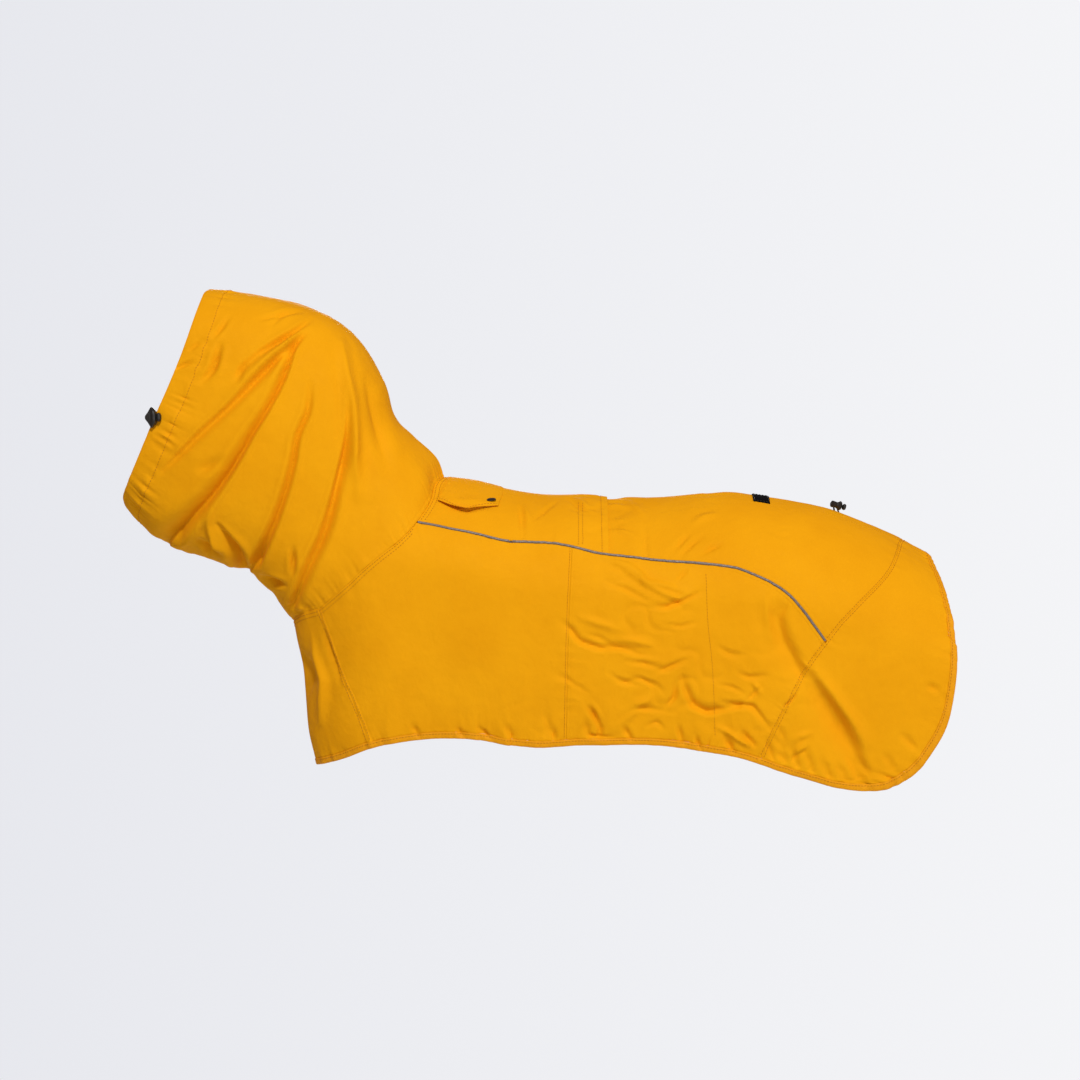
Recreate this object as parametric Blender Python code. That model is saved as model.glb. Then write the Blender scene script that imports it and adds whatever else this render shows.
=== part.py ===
"""Hooded raincoat for a medium dog, filled out as worn and hollow, with nobody in it.

The dog would face -X, its left side is -Y and +Z is up. All sizes below are in millimetres.
The origin is on the inner face of the centre back, where the coat lies on the wearer.

Two surfaces carry every piece of cloth:
  the body, a half tube open below, measured by x and by the girth from the centre back
    (girth is positive down the left side and negative down the right side);
  the hood and neck, a tube through a short table of rings, measured by ring number and turn
    (turn runs from 0 at the top to 1 at the throat, negative on the right side).
A panel is a grid between its seam lines on one of these surfaces, given a wall.
"""

import math
from collections import namedtuple

import bmesh
import bpy
import numpy as np

MM = 0.001

# Cloth and trim
WALL = 1.5                  # coated cloth with its seam turnings
SEAM_GAP = 0.18             # each piece stops this far from its seam line
COLLAR_GAP = 0.6            # the neck stops this far above the collar seam
HOOD_SEAM_GAP = 0.25        # each half of the hood stops this far from the centre plane
BINDING_WIDTH = 6.5         # folded tape on the hem
BINDING_PROUD = 0.5         # how far the tape stands off each face of the cloth
PIPING_RADIUS = 1.4
PIPING_SLOT = PIPING_RADIUS + 0.35
PIPING_PROUD = 0.1
VENT_OVERLAP = 12.0         # front yoke over rear yoke
VENT_STEP = WALL + 0.7      # the rear yoke starts this far below the front one
VENT_RELEASE = 30.0         # and comes up to the surface over this length

# Body form
GABLE_SLOPE = 0.30          # the cloth falls off the spine like a low roof
CREST_RADIUS = 10.0         # rounding along the spine
TUCK = 0.13                 # share by which the sides draw in ...
TUCK_LENGTH = 150.0         # ... over this length below the widest line
FRONT_ROUND = 92.0          # depth over which the chest rounds from front to side
FRONT_HALF_WIDTH = 75.0     # half width there, for measuring round the chest

BodySection = namedtuple("BodySection", "x ridge half_width crown")
BODY_SECTIONS = (
    BodySection(-260, 18.5, 70, 72),
    BodySection(-150, 18.5, 80, 72),
    BodySection(-96, 17.8, 85, 73),
    BodySection(-66, 14.6, 88, 74),
    BodySection(-31, 6.3, 90, 75),
    BodySection(0, WALL, 91, 76),
    BodySection(41, 0.3, 93, 78),
    BodySection(67, -1.4, 94, 79),
    BodySection(115, -2.6, 95, 80),
    BodySection(153, 1.2, 95, 82),
    BodySection(191, 2.9, 95, 84),
    BodySection(229, -1.7, 95, 85),
    BodySection(287, -12.7, 94, 85),
    BodySection(319, -24.7, 92, 85),
    BodySection(357, -41.7, 89, 84),
    BodySection(382, -56.7, 87, 82),
    BodySection(430, -92, 83, 80),
)

FrontSection = namedtuple("FrontSection", "z x")
FRONT_LINE = (
    FrontSection(-300, -218),
    FrontSection(-268, -223),
    FrontSection(-236, -231),
    FrontSection(-206, -234),
    FrontSection(-172, -237),
    FrontSection(-142, -243),
    FrontSection(-126, -246),
    FrontSection(-57, -251),
    FrontSection(40, -257),
)

# Hood and neck, from the face opening to the collar seam
Ring = namedtuple("Ring", "top_x top_z bottom_x bottom_z half_width bow")
HOOD_RINGS = (
    Ring(-334, 206, -418, -6, 63, 7),
    Ring(-308, 203, -395, -32, 69, 6),
    Ring(-277, 199, -361, -53, 75, 5),
    Ring(-240, 191, -329, -64, 79, 4),
    Ring(-204, 175, -305, -72, 80, 3),
    Ring(-178, 152, -288, -74, 79, 2),
    Ring(-156, 114, -281, -85, 76, 2),
    Ring(-146, 81, -268, -96, 72, 4),
    Ring(-126, 62, -259, -110, 70, 8),
    Ring(-102, 41, -252, -120, 70, 12),
    Ring(-96, 18, -246, -126, 71, 14),
)
COLLAR_RING = len(HOOD_RINGS) - 1
COLLAR_BLEND = 3.0          # rings over which the tube takes the collar seam's shape
HOOD_FULLNESS = 0.28        # rings are this much fuller than ellipses near top and bottom

# Seam lines on the left side: x and z of their points
SeamPoint = namedtuple("SeamPoint", "x z")
COLLAR_SEAM = (
    SeamPoint(-104.4, 10.0),
    SeamPoint(-107.6, -5.2),
    SeamPoint(-120.7, -27.0),
    SeamPoint(-137.0, -44.7),
    SeamPoint(-153.5, -57.4),
    SeamPoint(-187.8, -87.7),
    SeamPoint(-217.5, -112.6),
)
COLLAR_TOP_X = -96.0
THROAT_Z = -125.7
PIPING_LINE = (
    SeamPoint(-120.7, -27.0),
    SeamPoint(-83.0, -34.4),
    SeamPoint(-40.0, -44.2),
    SeamPoint(9.0, -47.6),
    SeamPoint(57.6, -57.4),
    SeamPoint(97.0, -62.3),
    SeamPoint(154.0, -67.1),
    SeamPoint(198.5, -74.4),
    SeamPoint(236.2, -93.3),
    SeamPoint(265.1, -126.3),
    SeamPoint(277.7, -143.7),
)
CHEST_SEAM = (
    SeamPoint(-217.5, -112.6),
    SeamPoint(-205.4, -146.9),
    SeamPoint(-195.2, -176.2),
    SeamPoint(-183.3, -202.5),
    SeamPoint(-165.4, -249.3),
)
MID_SEAM = (
    SeamPoint(31.4, -46.0),     # above the piping, which crosses it
    SeamPoint(27.2, -140.0),
    SeamPoint(25.3, -243.0),
)
REAR_SEAM = (
    SeamPoint(343.0, -74.2),
    SeamPoint(309.0, -108.1),
    SeamPoint(277.7, -143.7),
    SeamPoint(261.2, -166.1),
    SeamPoint(243.7, -198.1),
    SeamPoint(228.4, -228.4),
    SeamPoint(213.0, -263.0),
)
REAR_SEAM_TOP_X = 363.0
VENT_X = 67.0
CHEST_HEM_Z = -268.7
HEM_LEAD = SeamPoint(-192.7, -260.0)    # on the chest, ahead of the side panel
SIDE_HEM = (
    SeamPoint(-165.4, -249.3),
    SeamPoint(-141.5, -243.7),
    SeamPoint(-117.0, -240.2),
    SeamPoint(-52.5, -241.5),
    SeamPoint(50.0, -244.9),
    SeamPoint(115.0, -245.1),
    SeamPoint(155.5, -250.3),
)
TAIL_HEM = (
    SeamPoint(213.0, -263.0),
    SeamPoint(255.6, -277.0),
    SeamPoint(286.0, -285.8),
    SeamPoint(315.0, -289.8),
    SeamPoint(337.0, -288.0),
    SeamPoint(363.5, -274.5),
    SeamPoint(383.5, -250.0),
    SeamPoint(396.2, -226.0),
    SeamPoint(403.0, -196.3),
    SeamPoint(406.0, -170.3),
    SeamPoint(405.6, -139.4),
    SeamPoint(403.2, -116.3),
    SeamPoint(397.6, -86.2),
    SeamPoint(390.5, -66.5),
)
TAIL_HEM_TOP_X = 388.5
TAIL_LOW_X, TAIL_LOW_Z = 315.0, -285.0   # near the lowest point of the tail hem

# Folds of the left side: x and z of start, middle and end, depth there, and reach to each side.
# A negative depth is a ridge. The right side has similar ones, moved and weakened by turns.
Fold = namedtuple("Fold", "x1 z1 x2 z2 x3 z3 depth1 depth2 depth3 reach")
HOOD_FOLDS = (
    Fold(-224, 173, -250, 154, -290, 129, 0.0, 4.0, 0.0, 7),
    Fold(-230, 161, -300, 90, -378, 15, 1.0, 4.5, 1.5, 9),
    Fold(-230, 158, -273, 70, -356, -42, 2.0, 9.0, 6.0, 9),
    Fold(-224, 109, -241, 30, -276, -66, 0.0, 6.5, 5.0, 8),
    Fold(-187, 104, -197, 12, -243, -110, 0.0, 7.0, 5.5, 9),
    Fold(-195, 149, -183, 90, -181, -12, -1.0, -3.5, 0.0, 8),
    Fold(-172, 123, -165, 90, -158, 56, 0.0, 3.5, 0.0, 12),
    Fold(-315, -30, -303, -48, -291, -68, 0.0, 5.0, 6.0, 7),
)
BODY_FOLDS = (
    Fold(19, -127, 58, -149, 112, -158, 0.0, 4.0, 0.0, 8),
    Fold(110, -175, 127, -167, 146, -159, 0.0, 2.5, 0.0, 6),
    Fold(137, -172, 159, -207, 208, -205, 0.0, 5.0, 0.0, 9),
    Fold(104, -110, 136, -104, 160, -94, 0.0, 3.5, 0.0, 7),
    Fold(96, -74, 119, -89, 143, -97, 0.0, -2.5, 0.0, 7),
    Fold(73, -223, 94, -208, 132, -212, 0.0, 3.0, 0.0, 7),
    Fold(224, -103, 236, -143, 252, -178, 0.0, 3.5, 0.0, 12),
    Fold(260, -188, 282, -216, 314, -275, 0.0, 6.0, 2.0, 11),
    Fold(264, -168, 275, -185, 288, -202, 0.0, -3.0, 0.0, 8),
    Fold(-1, -24, 8, -15, 14, -9, 0.0, 2.0, 0.0, 5),
    Fold(128, -58, 137, -48, 147, -37, 0.0, 2.0, 0.0, 6),
    Fold(148, -62, 158, -48, 172, -38, 0.0, 2.0, 0.0, 6),
)
CENTRE_FADE = 14.0          # folds die out this near the centre plane
RIGHT_SHIFT_X = 5.0
RIGHT_SHIFT_Z = -4.0
RIGHT_SHARES = (0.8, 1.05, 0.65)
COLLAR_CALM = 0.8           # rings over which the folds die out above the collar seam

# Flap over the leash slit, label patch and fastenings
FLAP_EDGE = (
    SeamPoint(-100.6, -6.2),
    SeamPoint(-89.2, -9.7),
    SeamPoint(-73.5, -12.2),
    SeamPoint(-61.1, -9.9),
    SeamPoint(-41.4, -11.0),
)
FLAP_FRONT = ((-95.0, -18.0), (-92.0, 6.0))     # x and girth, ahead of the first point of its edge
FLAP_REAR = ((-40.5, -18.0), (-36.5, 12.0))
FLAP_CLEARANCE = 0.6
FLAP_LIFT = 2.2
FLAP_LIFT_X = -76.0
FLAP_LIFT_REACH = 14.0
FLAP_LIFT_POWER = 4         # only the part near the edge lifts
SNAP_X = -49.4
SNAP_Z = -2.5
SNAP_RADIUS = 6.0
SNAP_HEIGHT = 2.0
SNAP_SIDES = 20
CORD_SIDES = 8
LABEL_X = (211.5, 228.3)
LABEL_GIRTH = (1.5, 19.5)
LABEL_THICKNESS = 0.8
LABEL_CLEARANCE = 0.4

# Cord locks: sections along the body and the plunger, as shares of length, width and depth
LockSection = namedtuple("LockSection", "place width depth")
LOCK_SIZE = (12.2, 20.4, 7.5)
LOCK_SECTIONS = (
    LockSection(-0.50, 0.06, 0.40),
    LockSection(-0.45, 0.15, 0.66),
    LockSection(-0.22, 0.52, 0.88),
    LockSection(0.06, 1.00, 0.80),
    LockSection(0.28, 0.76, 1.25),
    LockSection(0.50, 0.50, 0.84),
)
PLUNGER_SIZE = (3.9, 8.6, 6.2)
PLUNGER_SECTIONS = (
    LockSection(-0.50, 0.80, 0.80),
    LockSection(0.10, 1.00, 1.00),
    LockSection(0.50, 0.60, 0.70),
)
LOCK_SQUARENESS = 0.55      # 1 gives round sections, less gives squarer ones
LOCK_SIDES = 12
FASTENER_GAP = 0.3
HOOD_LOCK_TURN = 0.570
HOOD_LOCK_OUTSIDE = 1.2     # its centre lies this far outside the edge of the opening
HOOD_LOCK_CLEARANCE = 0.6
HOOD_LOCK_TILT = 38.0
TAIL_LOCK_X = 294.4
TAIL_LOCK_RISE = 5.8        # centre above the cloth
TAIL_LOCK_TILT = -15.0
TAIL_CORD_FEET = (-0.3, 4.0)    # behind the place where the lock stands
TAIL_CORD_LEAN = 1.2        # the cords lean forward by this much on their way up
TAIL_CORD_RADIUS = 1.0

# How finely lines and surfaces are measured
NORMAL_STEP = 0.4
RING_STEP = 0.01
TURN_STEP = 0.002
LINE_TRIES = 2001
HEM_SAMPLES = 500
SEAM_SAMPLES = 60
CROSSING_TRIES = 400
CROSSING_ROUNDS = 4
MOST_GIRTH = 420.0
HALVINGS = 40
SHARP_ANGLE = 40

MATERIALS = {
    # name: (colour, roughness, metallic)
    "coated_cloth": ((0.86, 0.38, 0.01, 1.0), 0.62, 0.0),
    "reflective_tape": ((0.30, 0.28, 0.27, 1.0), 0.35, 0.2),
    "black_plastic": ((0.02, 0.018, 0.016, 1.0), 0.42, 0.0),
    "dark_metal": ((0.05, 0.045, 0.045, 1.0), 0.30, 0.9),
    "black_label": ((0.012, 0.012, 0.013, 1.0), 0.75, 0.0),
}


# ---------------------------------------------------------------- smooth curves and tables

def smooth(knots, values, at):
    """Values of a smooth cubic through a table, at any array of places."""
    knots = np.asarray(knots, float)
    values = np.asarray(values, float)
    at = np.asarray(at, float)
    gaps = np.diff(knots)
    slopes = np.diff(values, axis=0) / gaps.reshape((-1,) + (1,) * (values.ndim - 1))
    weight = (gaps[:-1] / (gaps[:-1] + gaps[1:])).reshape((-1,) + (1,) * (values.ndim - 1))
    tangents = np.concatenate([slopes[:1], slopes[:-1] * (1 - weight) + slopes[1:] * weight,
                               slopes[-1:]])
    spot = np.clip(np.searchsorted(knots, at) - 1, 0, len(gaps) - 1)
    shape = at.shape + (1,) * (values.ndim - 1)
    gap = gaps[spot].reshape(shape)
    t = np.clip((at - knots[spot]) / gaps[spot], 0, 1).reshape(shape)
    return (values[spot] * (1 + 2 * t) * (1 - t) ** 2
            + tangents[spot] * gap * t * (1 - t) ** 2
            + values[spot + 1] * t ** 2 * (3 - 2 * t)
            - tangents[spot + 1] * gap * t ** 2 * (1 - t))


def soft_step(value):
    """0 below 0, 1 above 1 and a smooth rise between."""
    value = np.clip(value, 0, 1)
    return value * value * (3 - 2 * value)


def crossing(first, second):
    """Distances along two lines at the place where they cross."""
    low = np.zeros(2)
    high = np.array([first.length, second.length])
    tries = CROSSING_TRIES
    for _ in range(CROSSING_ROUNDS):
        on_first = np.linspace(low[0], high[0], tries)
        on_second = np.linspace(low[1], high[1], tries)
        apart = first.at(on_first)[:, None] - second.at(on_second)[None, :]
        best = np.unravel_index(np.argmin(np.linalg.norm(apart, axis=-1)), (tries, tries))
        found = np.array([on_first[best[0]], on_second[best[1]]])
        window = (high - low) * 3 / tries
        low = np.maximum(found - window, 0)
        high = np.minimum(found + window, [first.length, second.length])
    return found


class Line:
    """A smooth line through points, measured by the distance along it."""

    def __init__(self, points):
        self.points = np.asarray(points, float)
        steps = np.linalg.norm(np.diff(self.points, axis=0), axis=1)
        self.knots = np.concatenate([[0.0], np.cumsum(steps)])
        self.length = self.knots[-1]

    def at(self, distance):
        return smooth(self.knots, self.points, distance)

    def nearest(self, point):
        """Distance along the line of its place nearest to a point."""
        tries = np.linspace(0, self.length, LINE_TRIES)
        return tries[np.argmin(np.linalg.norm(self.at(tries) - np.asarray(point), axis=1))]

    def between(self, start, end, count):
        """Points from one distance along the line to another, with count steps."""
        return self.at(np.linspace(start, end, count + 1))

    def beside(self, offset):
        """The line at an offset to its left, seen along its direction."""
        distance = np.linspace(0, self.length, HEM_SAMPLES + 1)
        ahead = self.at(np.minimum(distance + NORMAL_STEP, self.length))
        behind = self.at(np.maximum(distance - NORMAL_STEP, 0))
        along = ahead - behind
        along /= np.linalg.norm(along, axis=1, keepdims=True)
        return Line(self.at(distance) + offset * np.stack([-along[:, 1], along[:, 0]], axis=1))


# ---------------------------------------------------------------- the body surface

BODY_X = [section.x for section in BODY_SECTIONS]
BODY_COLUMNS = [section[1:] for section in BODY_SECTIONS]


def wrap(x, girth):
    """Half width and height of the body, open in front, at a girth from the centre back."""
    ridge, half_width, crown = np.moveaxis(smooth(BODY_X, BODY_COLUMNS, x), -1, 0)
    quarter = quarter_girth(half_width, crown)
    reach = np.abs(girth)
    angle = np.minimum(reach / quarter, 1) * math.pi / 2
    side = half_width * np.sin(angle)
    gable = GABLE_SLOPE * (np.hypot(side, CREST_RADIUS) - CREST_RADIUS)
    below = np.maximum(reach - quarter, 0)
    height = ridge - gable - crown * (1 - np.cos(angle)) - below
    return side * (1 - TUCK * (below / TUCK_LENGTH) ** 2), height


def quarter_girth(half_width, crown):
    """Length of the crowned part, from the centre back to the widest line."""
    depth = crown + GABLE_SLOPE * half_width
    return math.pi / 2 * np.sqrt((half_width ** 2 + depth ** 2) / 2)


def front_line(z):
    """x of the centre front."""
    table = np.asarray(FRONT_LINE)
    return smooth(table[:, 0], table[:, 1], z)


def front_angle(x, z):
    """Angle round the chest: 0 on the centre front, a right angle where the side begins."""
    behind = np.clip((x - front_line(z)) / FRONT_ROUND, 0, 1)
    return np.arccos(1 - behind)


def body_surface(x, girth):
    """Points of the body surface for arrays of x and girth."""
    side, z = wrap(x, girth)
    y = -np.sign(girth) * side * np.sin(front_angle(x, z))
    return np.stack([x + 0 * y, y, z], axis=-1)


def girth_at(x, z):
    """Girth of the place on the side with this x and height."""
    x, z = np.broadcast_arrays(np.asarray(x, float), np.asarray(z, float))
    low = np.zeros(x.shape)
    high = np.full(x.shape, MOST_GIRTH)
    for _ in range(HALVINGS):
        middle = (low + high) / 2
        above = wrap(x, middle)[1] > z
        low = np.where(above, middle, low)
        high = np.where(above, high, middle)
    return (low + high) / 2


FRONT_QUARTER = math.pi / 2 * math.sqrt((FRONT_ROUND ** 2 + FRONT_HALF_WIDTH ** 2) / 2)


def chest_surface(around, z):
    """The same surface near the centre front, for arrays of the length round it and height."""
    angle = np.minimum(np.abs(around) / FRONT_QUARTER, 1) * math.pi / 2
    x = front_line(z) + FRONT_ROUND * (1 - np.cos(angle))
    side = wrap(x, girth_at(x, z))[0]
    return np.stack([x, -np.sign(around) * side * np.sin(angle), z + 0 * x], axis=-1)


def around_at(x, z):
    """Length round the chest of the place with this x and height."""
    return front_angle(x, z) / (math.pi / 2) * FRONT_QUARTER


def on_body(points):
    """Seam points as x and girth."""
    table = np.asarray(points)
    return np.stack([table[:, 0], girth_at(table[:, 0], table[:, 1])], axis=1)


def on_chest(points):
    """Seam points as length round the chest and height."""
    table = np.asarray(points)
    return np.stack([around_at(table[:, 0], table[:, 1]), table[:, 1]], axis=1)


# ---------------------------------------------------------------- seam lines on the surfaces

def side_seams():
    """Every seam line of the left side, in the body's x and girth."""
    hem_half = on_body((HEM_LEAD,) + SIDE_HEM + TAIL_HEM)
    hem_other = hem_half[::-1] * [1.0, -1.0]
    hem = Line(np.vstack([hem_half, [[TAIL_HEM_TOP_X, 0.0]], hem_other]))
    return {
        "collar": Line(np.vstack([[COLLAR_TOP_X, 0.0], on_body(COLLAR_SEAM)])),
        "piping": Line(on_body(PIPING_LINE)),
        "chest": Line(on_body(CHEST_SEAM)),
        "mid": Line(on_body(MID_SEAM)),
        "rear": Line(np.vstack([[REAR_SEAM_TOP_X, 0.0], on_body(REAR_SEAM)])),
        "hem": hem,
        "hem_inner": hem.beside(-BINDING_WIDTH),
    }


def chest_seams():
    """Seam lines round the chest, in its own measures."""
    half_hem = on_chest((HEM_LEAD,) + SIDE_HEM[:2])
    other_side = half_hem[::-1] * [-1.0, 1.0]
    hem = Line(np.vstack([other_side, [[0.0, CHEST_HEM_Z]], half_hem]))
    side_line = SIDE["chest"].between(0, SIDE["chest"].length, SEAM_SAMPLES)
    seam_points = body_surface(side_line[:, 0], side_line[:, 1])[:, [0, 2]]
    return {
        "throat": Line(np.vstack([[[0.0, THROAT_Z]], on_chest(COLLAR_SEAM[-1:])])),
        "chest": Line(on_chest(seam_points)),
        "hem": hem,
        "hem_inner": hem.beside(BINDING_WIDTH),
    }


SIDE = side_seams()
CHEST = chest_seams()


def collar_ring(turn):
    """Points of the collar seam, from the centre back (0) to the throat (1)."""
    back = SIDE["collar"]
    throat = CHEST["throat"]
    whole = back.length + throat.length
    distance = np.abs(turn) * whole
    place = back.at(np.minimum(distance, back.length))
    on_side = body_surface(place[..., 0], place[..., 1])
    left = np.clip(whole - distance, 0, throat.length)
    place = throat.at(left)
    on_front = chest_surface(place[..., 0], place[..., 1])
    points = np.where((distance <= back.length)[..., None], on_side, on_front)
    points[..., 1] = -np.sign(turn) * np.abs(points[..., 1])
    return points


# ---------------------------------------------------------------- the hood surface

def hood_tube(ring, turn):
    """Points of the tube through the rings."""
    table = smooth(np.arange(len(HOOD_RINGS)), HOOD_RINGS, ring)
    top_x, top_z, bottom_x, bottom_z, half_width, bow = np.moveaxis(table, -1, 0)
    angle = np.abs(turn) * math.pi
    share = (1 - np.cos(angle)) / 2
    chord = np.hypot(bottom_x - top_x, bottom_z - top_z)
    bulge = bow * np.sin(angle) / chord
    x = top_x + (bottom_x - top_x) * share + (top_z - bottom_z) * bulge
    z = top_z + (bottom_z - top_z) * share - (top_x - bottom_x) * bulge
    y = -np.sign(turn) * half_width * np.sin(angle) * (1 + HOOD_FULLNESS * np.cos(angle) ** 2)
    return np.stack([x, y, z], axis=-1)


def hood_surface(ring, turn):
    """Points of the hood and neck; its last rings bend until they meet the collar seam."""
    last_ring = np.full(np.shape(turn), float(COLLAR_RING))
    bend = collar_ring(turn) - hood_tube(last_ring, turn)
    share = soft_step((ring - (COLLAR_RING - COLLAR_BLEND)) / COLLAR_BLEND)
    return hood_tube(ring, turn) + bend * share[..., None]


# ---------------------------------------------------------------- folds

def fold_relief(points, folds):
    """How far the folds push the surface out at each point; troughs are negative."""
    left = points[..., 1] < 0
    x = np.where(left, points[..., 0], points[..., 0] - RIGHT_SHIFT_X)
    z = np.where(left, points[..., 2], points[..., 2] - RIGHT_SHIFT_Z)
    total = np.zeros(x.shape)
    for number, fold in enumerate(folds):
        share = np.where(left, 1.0, RIGHT_SHARES[number % len(RIGHT_SHARES)])
        total -= share * fold_depth(x, z, fold)
    return total * soft_step(np.abs(points[..., 1]) / CENTRE_FADE)


def fold_depth(x, z, fold):
    """Depth of one fold over the side view: a soft trough about its bent middle line."""
    nearest = np.full(x.shape, 1e9)
    depth = np.zeros(x.shape)
    runs = (
        (fold.x1, fold.z1, fold.depth1, fold.x2, fold.z2, fold.depth2),
        (fold.x2, fold.z2, fold.depth2, fold.x3, fold.z3, fold.depth3),
    )
    for x1, z1, start_depth, x2, z2, end_depth in runs:
        along = (x2 - x1, z2 - z1)
        length = math.hypot(*along)
        share = np.clip(((x - x1) * along[0] + (z - z1) * along[1]) / length ** 2, 0, 1)
        away = np.hypot(x - x1 - share * along[0], z - z1 - share * along[1])
        here = start_depth + (end_depth - start_depth) * soft_step(share)
        depth = np.where(away < nearest, here, depth)
        nearest = np.minimum(nearest, away)
    return depth * np.exp(-(nearest / fold.reach) ** 2)


def hood_relief(ring, turn):
    points = hood_surface(ring, turn)
    near_collar = soft_step((COLLAR_RING - ring) / COLLAR_CALM)
    return fold_relief(points, HOOD_FOLDS) * near_collar


def body_relief(x, girth):
    return fold_relief(body_surface(x, girth), BODY_FOLDS)


def chest_relief(around, z):
    return fold_relief(chest_surface(around, z), BODY_FOLDS)


Surface = namedtuple("Surface", "point relief outward")
BODY = Surface(body_surface, body_relief, -1)
FRONT = Surface(chest_surface, chest_relief, 1)
HOOD = Surface(hood_surface, hood_relief, -1)


def outward_normals(surface, grid):
    """Unit normals of the bare surface on a grid of its two measures."""
    first, second = grid[..., 0], grid[..., 1]
    step, turn = (RING_STEP, TURN_STEP) if surface is HOOD else (NORMAL_STEP, NORMAL_STEP)
    along = surface.point(first + step, second) - surface.point(first - step, second)
    across = surface.point(first, second + turn) - surface.point(first, second - turn)
    normals = surface.outward * np.cross(along, across)
    return normals / np.linalg.norm(normals, axis=-1, keepdims=True)


# ---------------------------------------------------------------- panels from grids

def patch(front, rear, top, bottom):
    """Grid between four border lines: front and rear run down, top and bottom run back."""
    u = np.linspace(0, 1, len(top))[:, None, None]
    v = np.linspace(0, 1, len(front))[None, :, None]
    rows = (1 - v) * top[:, None, :] + v * bottom[:, None, :]
    columns = (1 - u) * front[None, :, :] + u * rear[None, :, :]
    corners = ((1 - u) * (1 - v) * top[0] + u * (1 - v) * top[-1]
               + (1 - u) * v * bottom[0] + u * v * bottom[-1])
    return rows + columns - corners


def both_sides(half, mirrored):
    """Whole grid from its left half, whose first column is on the centre plane."""
    other = half[:, :0:-1] * mirrored
    return np.concatenate([other, half], axis=1)


def draw_in(surface, grid, gaps):
    """Move the grid's borders in by the gaps at its first and last row, first and last column."""
    grid = grid.copy()
    borders = ((0, 1, 0), (-1, -2, 0), (0, 1, 1), (-1, -2, 1))
    for (border, inner, axis), gap in zip(borders, gaps):
        lines = grid if axis == 0 else np.swapaxes(grid, 0, 1)
        edge = surface.point(lines[border][..., 0], lines[border][..., 1])
        next_line = surface.point(lines[inner][..., 0], lines[inner][..., 1])
        share = gap / np.linalg.norm(next_line - edge, axis=-1, keepdims=True)
        lines[border] += (lines[inner] - lines[border]) * share
    return grid


def make_cloth(name, surface, grid, gaps, material="coated_cloth", lift=0.0, wall=WALL):
    """A walled solid on a grid of a surface's measures, with its outer face lifted."""
    grid = draw_in(surface, grid, gaps)
    points = surface.point(grid[..., 0], grid[..., 1])
    normals = outward_normals(surface, grid)
    rise = (surface.relief(grid[..., 0], grid[..., 1]) + lift)[..., None]
    outer = points + normals * rise
    inner = points + normals * (rise - wall)
    return make_solid(name, outer, inner, material)


def make_solid(name, outer, inner, material):
    """Closed solid between two grids of points."""
    rows, columns = outer.shape[:2]
    corners = np.concatenate([outer.reshape(-1, 3), inner.reshape(-1, 3)])
    under = rows * columns
    faces = []

    def index(row, column):
        return row * columns + column

    for row in range(rows - 1):
        for column in range(columns - 1):
            quad = [index(row, column), index(row + 1, column),
                    index(row + 1, column + 1), index(row, column + 1)]
            faces.append(quad)
            faces.append([corner + under for corner in reversed(quad)])
    border = ([index(0, column) for column in range(columns)]
              + [index(row, columns - 1) for row in range(1, rows)]
              + [index(rows - 1, column) for column in range(columns - 2, -1, -1)]
              + [index(row, 0) for row in range(rows - 2, 0, -1)])
    for here, there in zip(border, border[1:] + border[:1]):
        faces.append([here, there, there + under, here + under])

    return add_object(name, corners, faces, material)


def make_loft(name, rings, material):
    """Capped solid through rings of points, all with the same number of points."""
    rows, sides = rings.shape[:2]
    faces = [list(range(sides)), [(rows - 1) * sides + side for side in range(sides)]]
    for row in range(rows - 1):
        for side in range(sides):
            after = (side + 1) % sides
            faces.append([row * sides + side, row * sides + after,
                          (row + 1) * sides + after, (row + 1) * sides + side])
    return add_object(name, rings.reshape(-1, 3), faces, material)


def add_object(name, corners, faces, material):
    """Object from corners in millimetres, with every face turned outwards."""
    mesh = bpy.data.meshes.new(name)
    mesh.from_pydata([tuple(corner) for corner in corners * MM], [], faces)
    model = bmesh.new()
    model.from_mesh(mesh)
    bmesh.ops.recalc_face_normals(model, faces=model.faces)
    model.to_mesh(mesh)
    model.free()
    mesh.shade_smooth()
    mesh.set_sharp_from_angle(angle=math.radians(SHARP_ANGLE))
    mesh.materials.append(bpy.data.materials[material])
    piece = bpy.data.objects.new(name, mesh)
    bpy.context.scene.collection.objects.link(piece)
    return piece


# ---------------------------------------------------------------- the cloth pieces

LEFT_TO_RIGHT = np.array([1.0, -1.0])
ROUND_THE_FRONT = np.array([-1.0, 1.0])

# Steps along the seams, the same on both pieces of a seam so that their edges follow each other
YOKE_STEPS = 6              # centre back to piping, along the collar, the vent and the rear seam
SHOULDER_STEPS = 7          # piping to chest seam, along the collar
CHEST_STEPS = 6             # chest seam to throat
DOWN_STEPS = 12             # piping or collar to hem
FRONT_STEPS = 15            # chest seam to mid seam, along the hem
REAR_STEPS = 17             # mid seam to rear seam
HAUNCH_STEPS = 8            # rear seam to the lowest point of the tail hem
TAIL_STEPS = YOKE_STEPS + DOWN_STEPS    # from there up to the centre back
RING_STEPS = 30             # along the hood
FRONT_YOKE_STEPS = 11
REAR_YOKE_STEPS = 18
PIPING_STEPS = 44
PIPING_SIDES = 5
FLAP_LENGTH_STEPS = 10
FLAP_WIDTH_STEPS = 8


def stepped(line, stops, counts):
    """Points of a line in several stretches, each with its own number of steps."""
    parts = [line.between(start, end, count)
             for start, end, count in zip(stops, stops[1:], counts)]
    return np.concatenate([parts[0]] + [part[1:] for part in parts[1:]])


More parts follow.
